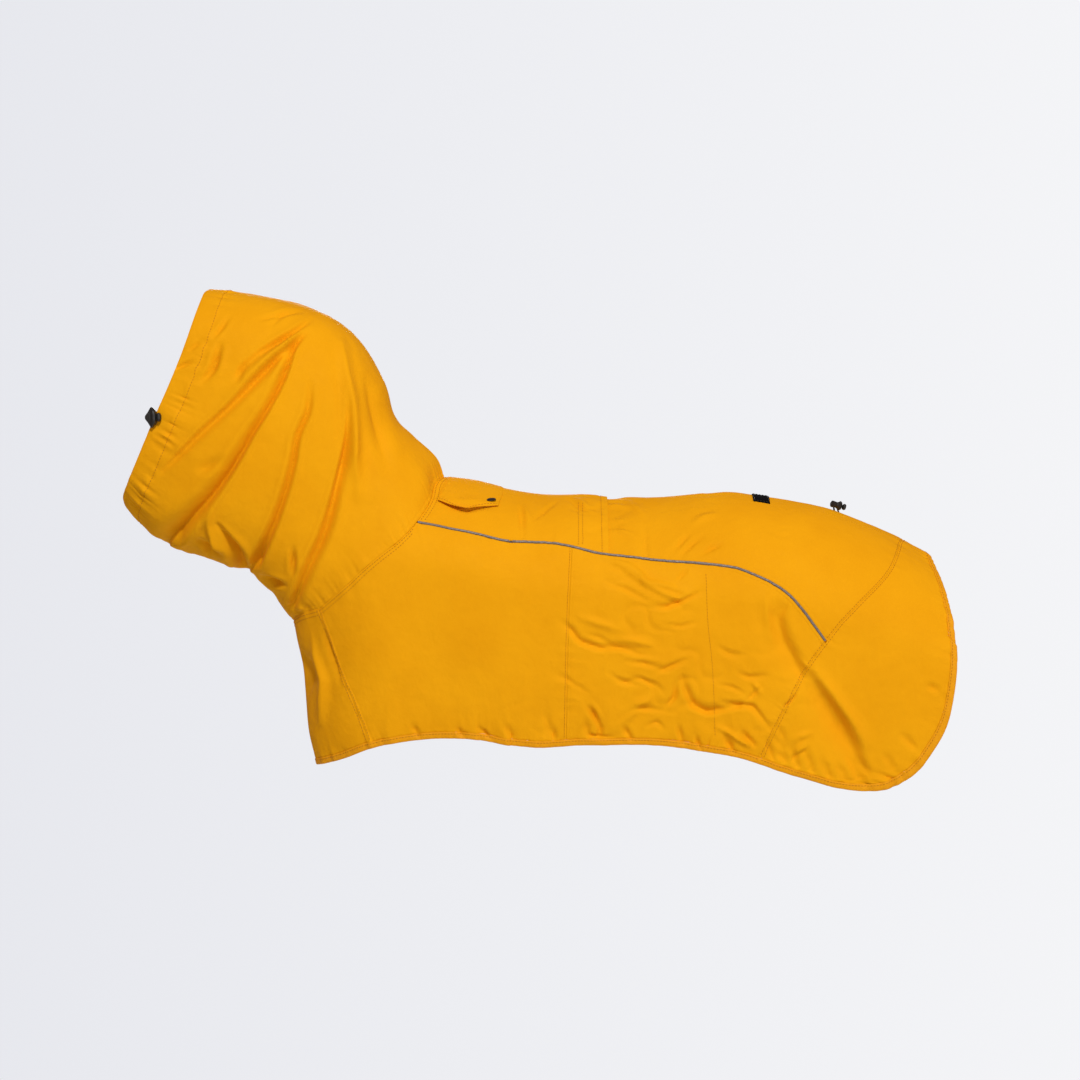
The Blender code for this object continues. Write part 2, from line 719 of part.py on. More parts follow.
def collar_turns():
    """Turns of the collar ring that fall on the body's seam points."""
    back, throat = SIDE["collar"].length, CHEST["throat"].length
    at_piping = SIDE["collar"].nearest(SIDE["piping"].points[0])
    stops = np.array([0.0, at_piping, back, back + throat]) / (back + throat)
    counts = (YOKE_STEPS, SHOULDER_STEPS, CHEST_STEPS)
    parts = [np.linspace(start, end, count + 1)
             for start, end, count in zip(stops, stops[1:], counts)]
    return np.concatenate([parts[0]] + [part[1:] for part in parts[1:]])


def make_hood_halves():
    """Two halves of the hood and neck, seamed on the centre plane."""
    rings = np.linspace(0, COLLAR_RING, RING_STEPS + 1)
    grid = np.stack(np.meshgrid(rings, collar_turns(), indexing="ij"), axis=-1)
    gaps = (0.0, COLLAR_GAP, HOOD_SEAM_GAP, HOOD_SEAM_GAP)
    make_cloth("hood_left", HOOD, grid, gaps)
    make_cloth("hood_right", HOOD, grid * LEFT_TO_RIGHT, gaps)


def make_yoke():
    """Back yoke: a front piece that laps over a rear piece at the vent."""
    piping, collar, rear = SIDE["piping"], SIDE["collar"], SIDE["rear"]
    collar_end = collar.nearest(piping.points[0])

    def yoke_half(start_x, end, top_end, rear_border, length_steps, front_border):
        start = piping.nearest([start_x, piping_girth(start_x)])
        bottom = piping.between(start, end, length_steps)
        top = np.stack([np.linspace(front_border[0, 0], top_end, length_steps + 1),
                        np.zeros(length_steps + 1)], axis=1)
        return patch(front_border, rear_border, top, bottom)

    vent = straight([VENT_X, 0.0], [VENT_X, piping_girth(VENT_X)], YOKE_STEPS)
    front_half = yoke_half(COLLAR_SEAM[2].x, piping.nearest(vent[-1]), VENT_X, vent,
                           FRONT_YOKE_STEPS, collar.between(0, collar_end, YOKE_STEPS))
    slot = PIPING_SLOT
    make_cloth("back_yoke_front", BODY, both_sides(front_half, LEFT_TO_RIGHT),
               (2 * SEAM_GAP, 0.0, slot, slot))

    tucked_x = VENT_X - VENT_OVERLAP
    tucked = straight([tucked_x, 0.0], [tucked_x, piping_girth(tucked_x)], YOKE_STEPS)
    rear_end = rear.nearest(piping.points[-1])
    rear_half = yoke_half(tucked_x, piping.length, REAR_SEAM_TOP_X,
                          rear.between(0, rear_end, YOKE_STEPS), REAR_YOKE_STEPS, tucked)
    grid = both_sides(rear_half, LEFT_TO_RIGHT)
    drop = VENT_STEP * (1 - soft_step((grid[..., 0] - VENT_X) / VENT_RELEASE))
    make_cloth("back_yoke_rear", BODY, grid, (0.0, SEAM_GAP, slot, slot), lift=-drop)


def straight(start, end, steps):
    return np.linspace(start, end, steps + 1)


def piping_girth(x):
    """Girth of the piping seam at x."""
    table = SIDE["piping"].points
    return float(smooth(table[:, 0], table[:, 1], x))


def make_side_panels():
    """Front and rear side panels, left and right."""
    piping, collar, mid = SIDE["piping"], SIDE["collar"], SIDE["mid"]
    hem = SIDE["hem_inner"]
    collar_start = collar.nearest(piping.points[0])
    mid_top, piping_mid = crossing(mid, piping)
    mid_end, hem_mid = crossing(mid, hem)
    chest_end, hem_chest = crossing(SIDE["chest"], hem)
    piping_part = FRONT_STEPS - SHOULDER_STEPS
    top = np.vstack([collar.between(collar.length, collar_start, SHOULDER_STEPS),
                     piping.between(0, piping_mid, piping_part)[1:]])
    bottom = hem.between(hem_chest, hem_mid, FRONT_STEPS)
    front = SIDE["chest"].between(0, chest_end, DOWN_STEPS)
    middle = mid.between(mid_top, mid_end, DOWN_STEPS)
    front_grid = patch(front, middle, top, bottom)

    rear = SIDE["rear"]
    rear_end, hem_rear = crossing(rear, hem)
    top = piping.between(piping_mid, piping.length, REAR_STEPS)
    bottom = hem.between(hem_mid, hem_rear, REAR_STEPS)
    rear_border = rear.between(rear.nearest(piping.points[-1]), rear_end, DOWN_STEPS)
    rear_grid = patch(middle, rear_border, top, bottom)

    for side, way in (("left", 1.0), ("right", -1.0)):
        mirrored = np.array([1.0, way])
        make_cloth(f"side_front_{side}", BODY, front_grid * mirrored,
                   (SEAM_GAP, SEAM_GAP, PIPING_SLOT, SEAM_GAP))
        make_cloth(f"side_rear_{side}", BODY, rear_grid * mirrored,
                   (SEAM_GAP, SEAM_GAP, PIPING_SLOT, SEAM_GAP))


def make_chest_panel():
    """Panel round the front, from the throat to the hem between the forelegs."""
    hem = CHEST["hem_inner"]
    seam_end, hem_seam = crossing(CHEST["chest"], hem)
    bottom = hem.between(hem.length / 2, hem_seam, CHEST_STEPS)
    bottom[0, 0] = 0.0
    throat = CHEST["throat"].between(0, CHEST["throat"].length, CHEST_STEPS)
    outer = CHEST["chest"].between(0, seam_end, DOWN_STEPS)
    centre = straight(throat[0], bottom[0], DOWN_STEPS)
    half = patch(centre, outer, throat, bottom)
    other = half[:0:-1] * ROUND_THE_FRONT
    grid = np.concatenate([other, half], axis=0)
    make_cloth("chest_panel", FRONT, grid, (SEAM_GAP, SEAM_GAP, 2 * SEAM_GAP, SEAM_GAP))


def make_tail_panel():
    """Panel that wraps the haunches, with a deep curved hem."""
    rear, hem = SIDE["rear"], SIDE["hem_inner"]
    rear_end, hem_rear = crossing(rear, hem)
    lowest = lowest_point(hem)
    behind = hem.between(hem.length / 2, lowest, TAIL_STEPS)
    behind[0, 1] = 0.0
    bottom = hem.between(hem_rear, lowest, HAUNCH_STEPS)
    top = straight([REAR_SEAM_TOP_X, 0.0], behind[0], HAUNCH_STEPS)
    at_piping = rear.nearest(SIDE["piping"].points[-1])
    front = stepped(rear, (0, at_piping, rear_end), (YOKE_STEPS, DOWN_STEPS))
    half = patch(front, behind, top, bottom)
    make_cloth("tail_panel", BODY, both_sides(half, LEFT_TO_RIGHT),
               (SEAM_GAP, SEAM_GAP, SEAM_GAP, SEAM_GAP))


def lowest_point(hem):
    """Distance along a hem line to the lowest point of the tail hem."""
    return hem.nearest([TAIL_LOW_X, float(girth_at(TAIL_LOW_X, TAIL_LOW_Z))])


def make_bindings():
    """Folded tape round the whole hem, in four lengths that step along with the panels."""
    wall = WALL + 2 * BINDING_PROUD

    def tape(name, surface, edges, mirrored=(1.0, 1.0)):
        grid = np.stack(edges, axis=1) * np.asarray(mirrored)
        make_cloth(name, surface, grid, (SEAM_GAP, SEAM_GAP, 0.0, SEAM_GAP),
                   lift=BINDING_PROUD, wall=wall)

    side, tail, chest = [], [], []
    for edge in ("hem", "hem_inner"):
        hem = SIDE[edge]
        at_chest, at_mid, at_rear = [crossing(SIDE[seam], hem)[1]
                                     for seam in ("chest", "mid", "rear")]
        side.append(stepped(hem, (at_chest, at_mid, at_rear), (FRONT_STEPS, REAR_STEPS)))
        lowest, whole = lowest_point(hem), hem.length
        stops = (at_rear, lowest, whole / 2, whole - lowest, whole - at_rear)
        tail.append(stepped(hem, stops, (HAUNCH_STEPS, TAIL_STEPS, TAIL_STEPS, HAUNCH_STEPS)))
        hem = CHEST[edge]
        at_seam = crossing(CHEST["chest"], hem)[1]
        stops = (at_seam, hem.length / 2, hem.length - at_seam)
        chest.append(stepped(hem, stops, (CHEST_STEPS, CHEST_STEPS)))
    tape("hem_binding_left", BODY, side)
    tape("hem_binding_right", BODY, side, LEFT_TO_RIGHT)
    tape("hem_binding_tail", BODY, tail)
    tape("hem_binding_chest", FRONT, chest)


def make_piping():
    """A round bead of reflective tape along each yoke seam, standing a little proud."""
    line = SIDE["piping"]
    line = line.between(PIPING_SLOT, line.length - PIPING_SLOT, PIPING_STEPS)
    for side, way in (("left", 1.0), ("right", -1.0)):
        place = line * [1.0, way]
        normals = outward_normals(BODY, place)
        relief = body_relief(place[:, 0], place[:, 1])[:, None]
        centre = body_surface(place[:, 0], place[:, 1]) + normals * (relief + PIPING_PROUD)
        along = np.gradient(centre, axis=0)
        along /= np.linalg.norm(along, axis=1, keepdims=True)
        across = np.cross(along, normals)
        rings = round_rings(centre, normals, across, PIPING_RADIUS, PIPING_SIDES)
        make_loft(f"piping_{side}", rings, "reflective_tape")


def round_rings(centres, up, across, radii, sides):
    """Circles about a row of centres, between two directions square to the row."""
    angles = np.arange(sides) * 2 * math.pi / sides
    radii = np.broadcast_to(radii, len(centres))[:, None, None]
    up = np.broadcast_to(up, centres.shape)[:, None, :]
    across = np.broadcast_to(across, centres.shape)[:, None, :]
    circle = np.cos(angles)[:, None] * up + np.sin(angles)[:, None] * across
    return centres[:, None, :] + radii * circle


# ---------------------------------------------------------------- flap, label and fastenings

def make_leash_flap():
    """Flap over the leash slit: it lies on the yoke and gapes along its lower edge."""
    edge = Line(on_body(FLAP_EDGE))
    bottom = edge.between(0, edge.length, FLAP_LENGTH_STEPS)
    front, rear = Line(FLAP_FRONT + (tuple(bottom[0]),)), Line(FLAP_REAR + (tuple(bottom[-1]),))
    front = front.between(0, front.length, FLAP_WIDTH_STEPS)
    rear = rear.between(0, rear.length, FLAP_WIDTH_STEPS)
    top = straight(front[0], rear[0], FLAP_LENGTH_STEPS)
    grid = patch(front, rear, top, bottom)
    near_edge = np.linspace(0, 1, FLAP_WIDTH_STEPS + 1)[None, :] ** FLAP_LIFT_POWER
    gape = FLAP_LIFT * np.exp(-((grid[..., 0] - FLAP_LIFT_X) / FLAP_LIFT_REACH) ** 2) * near_edge
    make_cloth("leash_flap", BODY, grid, (0.0, 0.0, 0.0, 0.0), lift=FLAP_CLEARANCE + WALL + gape)


def frame_on_body(x, girth):
    """Point, outward normal and direction towards the tail at a place on the body."""
    place = np.array([[x, girth]])
    normal = outward_normals(BODY, place)[0]
    point = body_surface(place[:, 0], place[:, 1])[0]
    behind = body_surface(place[:, 0] + 1, place[:, 1])[0] - point
    behind -= normal * behind.dot(normal)
    return point, normal, behind / np.linalg.norm(behind)


def make_snap():
    """Press stud near the end of the flap."""
    point, normal, along = frame_on_body(SNAP_X, float(girth_at(SNAP_X, SNAP_Z)))
    base = point + normal * (FLAP_CLEARANCE + WALL + FASTENER_GAP)
    heights = np.array([0.0, 0.6, 1.0]) * SNAP_HEIGHT
    radii = np.array([1.0, 1.0, 0.72]) * SNAP_RADIUS
    centres = base + heights[:, None] * normal
    make_loft("leash_snap", round_rings(centres, along, np.cross(normal, along), radii, SNAP_SIDES),
              "dark_metal")


def make_label():
    """Bare patch sewn beside the spine."""
    corners = np.meshgrid(np.linspace(*LABEL_X, 3), np.linspace(*LABEL_GIRTH, 4), indexing="ij")
    grid = np.stack(corners, axis=-1)
    make_cloth("label_patch", BODY, grid, (0.0, 0.0, 0.0, 0.0), "black_label",
               lift=LABEL_CLEARANCE + LABEL_THICKNESS, wall=LABEL_THICKNESS)


def make_cord_lock(name, plunger_name, centre, along, up):
    """Spring cord lock: a flat kite-shaped body with a plunger that comes out of one corner."""
    reach = LOCK_SIZE[0] / 2 + FASTENER_GAP + PLUNGER_SIZE[0] / 2
    make_lock_block(name, centre, along, up, LOCK_SIZE, LOCK_SECTIONS)
    make_lock_block(plunger_name, centre + along * reach, along, up, PLUNGER_SIZE, PLUNGER_SECTIONS)


def make_lock_block(name, centre, along, up, size, sections):
    """Rounded block whose sections grow and shrink along its length."""
    length, width, depth = size
    across = np.cross(up, along)
    angles = (np.arange(LOCK_SIDES) + 0.5) * 2 * math.pi / LOCK_SIDES
    wide = np.sign(np.cos(angles)) * np.abs(np.cos(angles)) ** LOCK_SQUARENESS
    deep = np.sign(np.sin(angles)) * np.abs(np.sin(angles)) ** LOCK_SQUARENESS
    rings = [centre + along * (section.place * length)
             + (section.width * width / 2) * wide[:, None] * across
             + (section.depth * depth / 2) * deep[:, None] * up
             for section in sections]
    make_loft(name, np.array(rings), "black_plastic")


def lock_half_depth(offset):
    """Half the depth of a lock's body at a distance from its centre along its length."""
    places = [section.place * LOCK_SIZE[0] for section in LOCK_SECTIONS]
    depths = [section.depth * LOCK_SIZE[2] / 2 for section in LOCK_SECTIONS]
    return float(np.interp(offset, places, depths))


def make_hood_locks():
    """A cord lock on each side of the face opening, against the outside of its edge."""
    for side, way in (("left", 1.0), ("right", -1.0)):
        turn = np.array([way * HOOD_LOCK_TURN])
        normal = outward_normals(HOOD, np.stack([turn * 0 + 0.25, turn], axis=1))[0]
        edge = hood_surface(turn * 0, turn)[0]
        inside = hood_surface(turn * 0 + 0.5, turn)[0] - edge
        inside -= normal * inside.dot(normal)
        inside /= np.linalg.norm(inside)
        rise = LOCK_SIZE[2] / 2 + FASTENER_GAP + HOOD_LOCK_CLEARANCE
        centre = edge - inside * HOOD_LOCK_OUTSIDE + normal * rise
        up_edge = np.cross(normal, inside) * way
        tilt = math.radians(HOOD_LOCK_TILT)
        along = inside * math.cos(tilt) + up_edge * math.sin(tilt)
        make_cord_lock(f"hood_lock_{side}", f"hood_plunger_{side}", centre, along, normal)


def make_tail_lock():
    """Cord lock standing on the spine, with the two legs of its cord."""
    point = frame_on_body(TAIL_LOCK_X, 0.0)[0]
    tilt = math.radians(TAIL_LOCK_TILT)
    along = np.array([math.cos(tilt), 0.0, math.sin(tilt)])
    up = np.array([-math.sin(tilt), 0.0, math.cos(tilt)])
    centre = point + up * TAIL_LOCK_RISE
    make_cord_lock("tail_lock", "tail_plunger", centre, along, up)
    across = np.array([0.0, 1.0, 0.0])
    for name, behind in zip(("tail_cord_front", "tail_cord_rear"), TAIL_CORD_FEET):
        foot, normal, on_cloth = frame_on_body(TAIL_LOCK_X + behind, 0.0)
        offset = behind - TAIL_CORD_LEAN
        head = centre + along * offset - up * lock_half_depth(offset)
        ends = np.array([foot + normal * FASTENER_GAP, head - up * FASTENER_GAP])
        rings = round_rings(ends, np.array([on_cloth, along]), across, TAIL_CORD_RADIUS, CORD_SIDES)
        make_loft(name, rings, "black_plastic")


# ---------------------------------------------------------------- the whole coat

def make_materials():
    for name, (colour, roughness, metallic) in MATERIALS.items():
        material = bpy.data.materials.new(name)
        material.use_nodes = True
        shader = material.node_tree.nodes["Principled BSDF"]
        shader.inputs["Base Color"].default_value = colour
        shader.inputs["Roughness"].default_value = roughness
        shader.inputs["Metallic"].default_value = metallic


def main():
    for item in list(bpy.context.scene.objects):
        bpy.data.objects.remove(item, do_unlink=True)
    make_materials()
    make_hood_halves()
    make_yoke()
    make_side_panels()
    make_chest_panel()
    make_tail_panel()
    make_bindings()
    make_piping()
    make_leash_flap()
    make_snap()
    make_label()
    make_hood_locks()
    make_tail_lock()


main()
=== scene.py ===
"""Dressed model of a hooded raincoat for a dog, filled out as worn and hollow, with nobody in it.

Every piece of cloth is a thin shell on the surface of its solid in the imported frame, with its own
creases, seam puckers and stitches, and every fastening is a finer piece in its solid's place.
All sizes below are in millimetres. The dog would face -X, its left side is -Y and +Z is up.
"""

import itertools
import math
from collections import namedtuple

import bpy
import numpy as np
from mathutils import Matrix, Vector


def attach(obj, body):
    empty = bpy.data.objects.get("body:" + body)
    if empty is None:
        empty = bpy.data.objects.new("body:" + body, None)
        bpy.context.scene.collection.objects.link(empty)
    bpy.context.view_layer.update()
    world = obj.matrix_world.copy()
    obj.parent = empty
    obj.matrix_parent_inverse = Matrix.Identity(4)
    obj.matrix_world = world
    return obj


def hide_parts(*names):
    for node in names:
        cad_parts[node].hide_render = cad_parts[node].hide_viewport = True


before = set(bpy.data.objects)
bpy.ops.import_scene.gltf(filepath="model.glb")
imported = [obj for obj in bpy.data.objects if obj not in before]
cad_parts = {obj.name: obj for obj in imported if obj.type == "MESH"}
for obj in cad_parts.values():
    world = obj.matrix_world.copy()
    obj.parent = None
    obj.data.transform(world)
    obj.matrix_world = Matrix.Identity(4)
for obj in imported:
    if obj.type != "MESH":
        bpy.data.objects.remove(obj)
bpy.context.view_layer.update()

MM = 0.001
SIDES = (("left", 1.0), ("right", -1.0))      # with the sign of their girth

# Camera: level, square to the left side
VIEW_DISTANCE = 3200.0
VIEW_HEIGHT = -44.7
LENS = 106.7
SENSOR = 36.0

# Cloth and trim
CLOTH = 0.7                 # shell of coated cloth
WALL = 1.5                  # wall of the solids in the frame
SEAM_GAP = 0.06
BINDING_WIDTH = 6.5
PIPING_RADIUS = 1.28
PIPING_GAP = 1.38           # cloth stops this far from the middle of the bead
PIPING_ROOM_LENGTH = 3.0    # over which the room for the bead opens behind the collar
VENT_OVERLAP = 12.0
VENT_STEP = 2.2
VENT_RELEASE = 30.0
CASING_NARROW, CASING_WIDE = 19.0, 24.0     # drawcord casing, at the crown and at the throat
OPENING_CORNERS = (7.0, 9.0)                # radii at the crown and at the throat
OPENING_BEND = 60.0                         # radius of the tube where it crosses the centre
OPENING_SWAY, OPENING_SWAY_Z, OPENING_SWAY_REACH = 2.3, 133.0, 48.0
# Grid steps of the shells, finer where the cloth has more and sharper folds
PITCH = {
    "hood_left": 1.70, "hood_right": 2.3, "back_yoke_front": 2.0, "back_yoke_rear": 2.6,
    "side_front_left": 2.6, "side_front_right": 2.6, "side_rear_left": 1.7,
    "side_rear_right": 2.2, "chest_panel": 1.8, "tail_panel": 2.1, "leash_flap": 1.5,
    "label_patch": 0.9,
}
END_STEPS = (0.22, 0.26, 0.32, 0.38, 0.44, 0.5, 0.56, 0.65, 0.8)    # closer near the borders

# Body form, as in the frame
GABLE_SLOPE = 0.30
CREST_RADIUS = 10.0
TUCK = 0.13
TUCK_LENGTH = 150.0
FRONT_ROUND = 92.0
FRONT_HALF_WIDTH = 75.0

# x, ridge height, half width, crown height
BODY_SECTIONS = (
    (-260, 18.5, 70, 72), (-150, 18.5, 80, 72), (-96, 17.8, 85, 73), (-66, 14.6, 88, 74),
    (-31, 6.3, 90, 75), (0, WALL, 91, 76), (41, 0.3, 93, 78), (67, -1.4, 94, 79),
    (115, -2.6, 95, 80), (153, 1.2, 95, 82), (191, 2.9, 95, 84), (229, -1.7, 95, 85),
    (287, -12.7, 94, 85), (319, -24.7, 92, 85), (357, -41.7, 89, 84), (382, -56.7, 87, 82),
    (430, -92, 83, 80),
)
# z and x of the centre front
FRONT_LINE = (
    (-300, -218), (-268, -223), (-236, -231), (-206, -234), (-172, -237), (-142, -243),
    (-126, -246), (-57, -251), (40, -257),
)
# x and z of the top, x and z of the bottom, half width, bow
HOOD_RINGS = (
    (-334, 206, -418, -6, 63, 7), (-308, 203, -395, -32, 69, 6), (-277, 199, -361, -53, 75, 5),
    (-240, 191, -329, -64, 79, 4), (-204, 175, -305, -72, 80, 3), (-178, 152, -288, -74, 79, 2),
    (-156, 114, -281, -85, 76, 2), (-146, 81, -268, -96, 72, 4), (-127, 60, -259, -110, 70, 8),
    (-104, 38, -252, -120, 70, 12), (-96, 18, -246, -126, 71, 14),
)
COLLAR_RING = len(HOOD_RINGS) - 1
COLLAR_BLEND = 3.0
HOOD_FULLNESS = 0.28

# Seam lines on the left side: x and z
COLLAR_SEAM = ((-104.4, 10.0), (-107.6, -5.2), (-120.7, -27.0), (-137.0, -44.7), (-153.5, -57.4),
               (-187.8, -87.7), (-217.5, -112.6))
COLLAR_TOP_X = -96.0
THROAT_Z = -125.7
PIPING_LINE = ((-120.7, -27.0), (-83.0, -34.4), (-40.0, -44.2), (9.0, -47.6), (57.6, -57.4),
               (97.0, -62.3), (154.0, -67.1), (198.5, -74.4), (236.2, -93.3), (265.1, -126.3),
               (277.7, -143.7))
CHEST_SEAM = ((-217.5, -112.6), (-205.4, -146.9), (-195.2, -176.2), (-183.3, -202.5),
              (-165.4, -249.3))
MID_SEAM = ((31.4, -46.0), (27.2, -140.0), (25.3, -243.0))
REAR_SEAM = ((343.0, -74.2), (309.0, -108.1), (277.7, -143.7), (261.2, -166.1), (243.7, -198.1),
             (228.4, -228.4), (213.0, -263.0))
REAR_SEAM_TOP_X = 363.0
VENT_X = 67.0
CHEST_HEM_Z = -268.7
HEM_LEAD = (-192.7, -260.0)
SIDE_HEM = ((-165.4, -249.3), (-141.5, -243.7), (-117.0, -240.2), (-52.5, -241.5),
            (50.0, -244.9), (115.0, -245.1), (155.5, -250.3))
TAIL_HEM = ((213.0, -263.0), (255.6, -277.0), (286.0, -285.8), (315.0, -289.8), (337.0, -288.0),
            (363.5, -274.5), (383.5, -250.0), (396.2, -226.0), (403.0, -196.3), (406.0, -170.3),
            (405.6, -139.4), (403.2, -116.3), (397.6, -86.2), (390.5, -66.5))
TAIL_HEM_TOP_X = 388.5
TAIL_LOW_X, TAIL_LOW_Z = 315.0, -285.0

# Creases, as seen square to the side: the lean, then points of x, z, depth and width, where a
# negative depth is a ridge. With a lean above 0 the wall on the left of the line is the wider one,
# looking along it.
Crease = namedtuple("Crease", "lean points")
HOOD_CREASES = [Crease(lean, points) for lean, *points in (
    (0.2, (-229, 176, 0.5, 3.5), (-245, 165, 2.8, 3.5), (-266, 152, 2.6, 4), (-288, 137, 0.6, 4)),
    (0, (-286, 137, 0.3, 4), (-297, 128, 1.4, 4), (-304, 110, 0, 5)),
    (0, (-240, 161, -0.4, 5), (-278, 133, -1.8, 6), (-318, 95, 0, 7)),
    (0.35, (-235, 163, 1, 4), (-260, 141, 3.2, 5), (-285, 116, 3.4, 6), (-308, 92, 3.2, 6),
     (-341, 61, 2.8, 6), (-362, 40, 2.2, 5), (-381, 22, 0.6, 4)),
    (-0.35, (-237, 161, 1, 4), (-245, 149, 4.2, 4.5), (-256, 119, 5.2, 5), (-270, 91, 5.4, 5),
     (-289, 60, 5.8, 6), (-301, 39, 6.4, 7), (-327, 1, 7.6, 9), (-362, -39, 8, 13)),
    (-0.1, (-229, 112, 0.6, 4), (-232, 84, 3.4, 4.5), (-242, 60, 4.2, 4.5), (-247, 32, 4.6, 5),
     (-265, -25, 5.2, 5.5), (-283, -66, 5.6, 7)),
    (0.2, (-192, 107, 0.6, 4), (-192, 60, 4.2, 5), (-202, 13, 5, 6), (-218, -41, 5.6, 7),
     (-235, -77, 5, 7), (-248, -110, 4, 6)),
    (0, (-199, 152, -1, 7), (-190, 102, -2.6, 8), (-185, 40, -2.6, 9), (-181, -10, 0, 9)),
    (0, (-176, 126, 0, 10), (-167, 95, 2.6, 11), (-160, 60, 2, 10), (-150, 20, 0, 10)),
    (-0.1, (-322, -30, 1.5, 3), (-312, -45, 6, 6), (-302, -60, 8, 8), (-296, -73, 7, 8)),
    (0, (-326, -10, 0, 5), (-331, -30, -2, 5), (-326, -48, -2.6, 5), (-318, -62, -1, 5)),
    (0, (-340, -46, 1.5, 4), (-330, -54, 4, 5), (-318, -60, 1.5, 4)),
    (0, (-277, -82, 1.5, 4), (-266, -87, 4, 5), (-256, -90, 1, 4)),
    (0, (-244, -116, 2, 3), (-236, -119, 4, 4), (-230, -121, 1, 3)),
    (0, (-247, -49, 0, 4), (-247, -66, 2.4, 4), (-248, -82, 0, 4)),
    (0, (-310, 180, 0, 3), (-318, 168, 1.4, 3), (-327, 157, 0.4, 3)),
    (0, (-320, 152, 0.4, 4), (-323, 139, 2.2, 5), (-328, 125, 2.2, 5), (-339, 113, 0.3, 5)),
    (0, (-362, 127, 0.8, 2.5), (-354, 131, 1.2, 3), (-346, 134, 0, 3)),
    (0, (-350, 145, 0.5, 2.5), (-344, 150, 1, 3), (-339, 154, 0, 3)),
    (0, (-383, 60, 0.5, 3), (-373, 54, 1.4, 3), (-364, 48, 0.3, 3)),
    (0, (-271, 169, 0, 3), (-255, 181, 1.4, 3), (-238, 184, 0.4, 3)),
    (0, (-284, 175, 0, 3), (-261, 181, 1, 3), (-248, 186, 0, 3)),
    (0, (-343, 22, 0, 8), (-331, 29, 1.2, 8), (-315, 40, 0, 8)),
)]
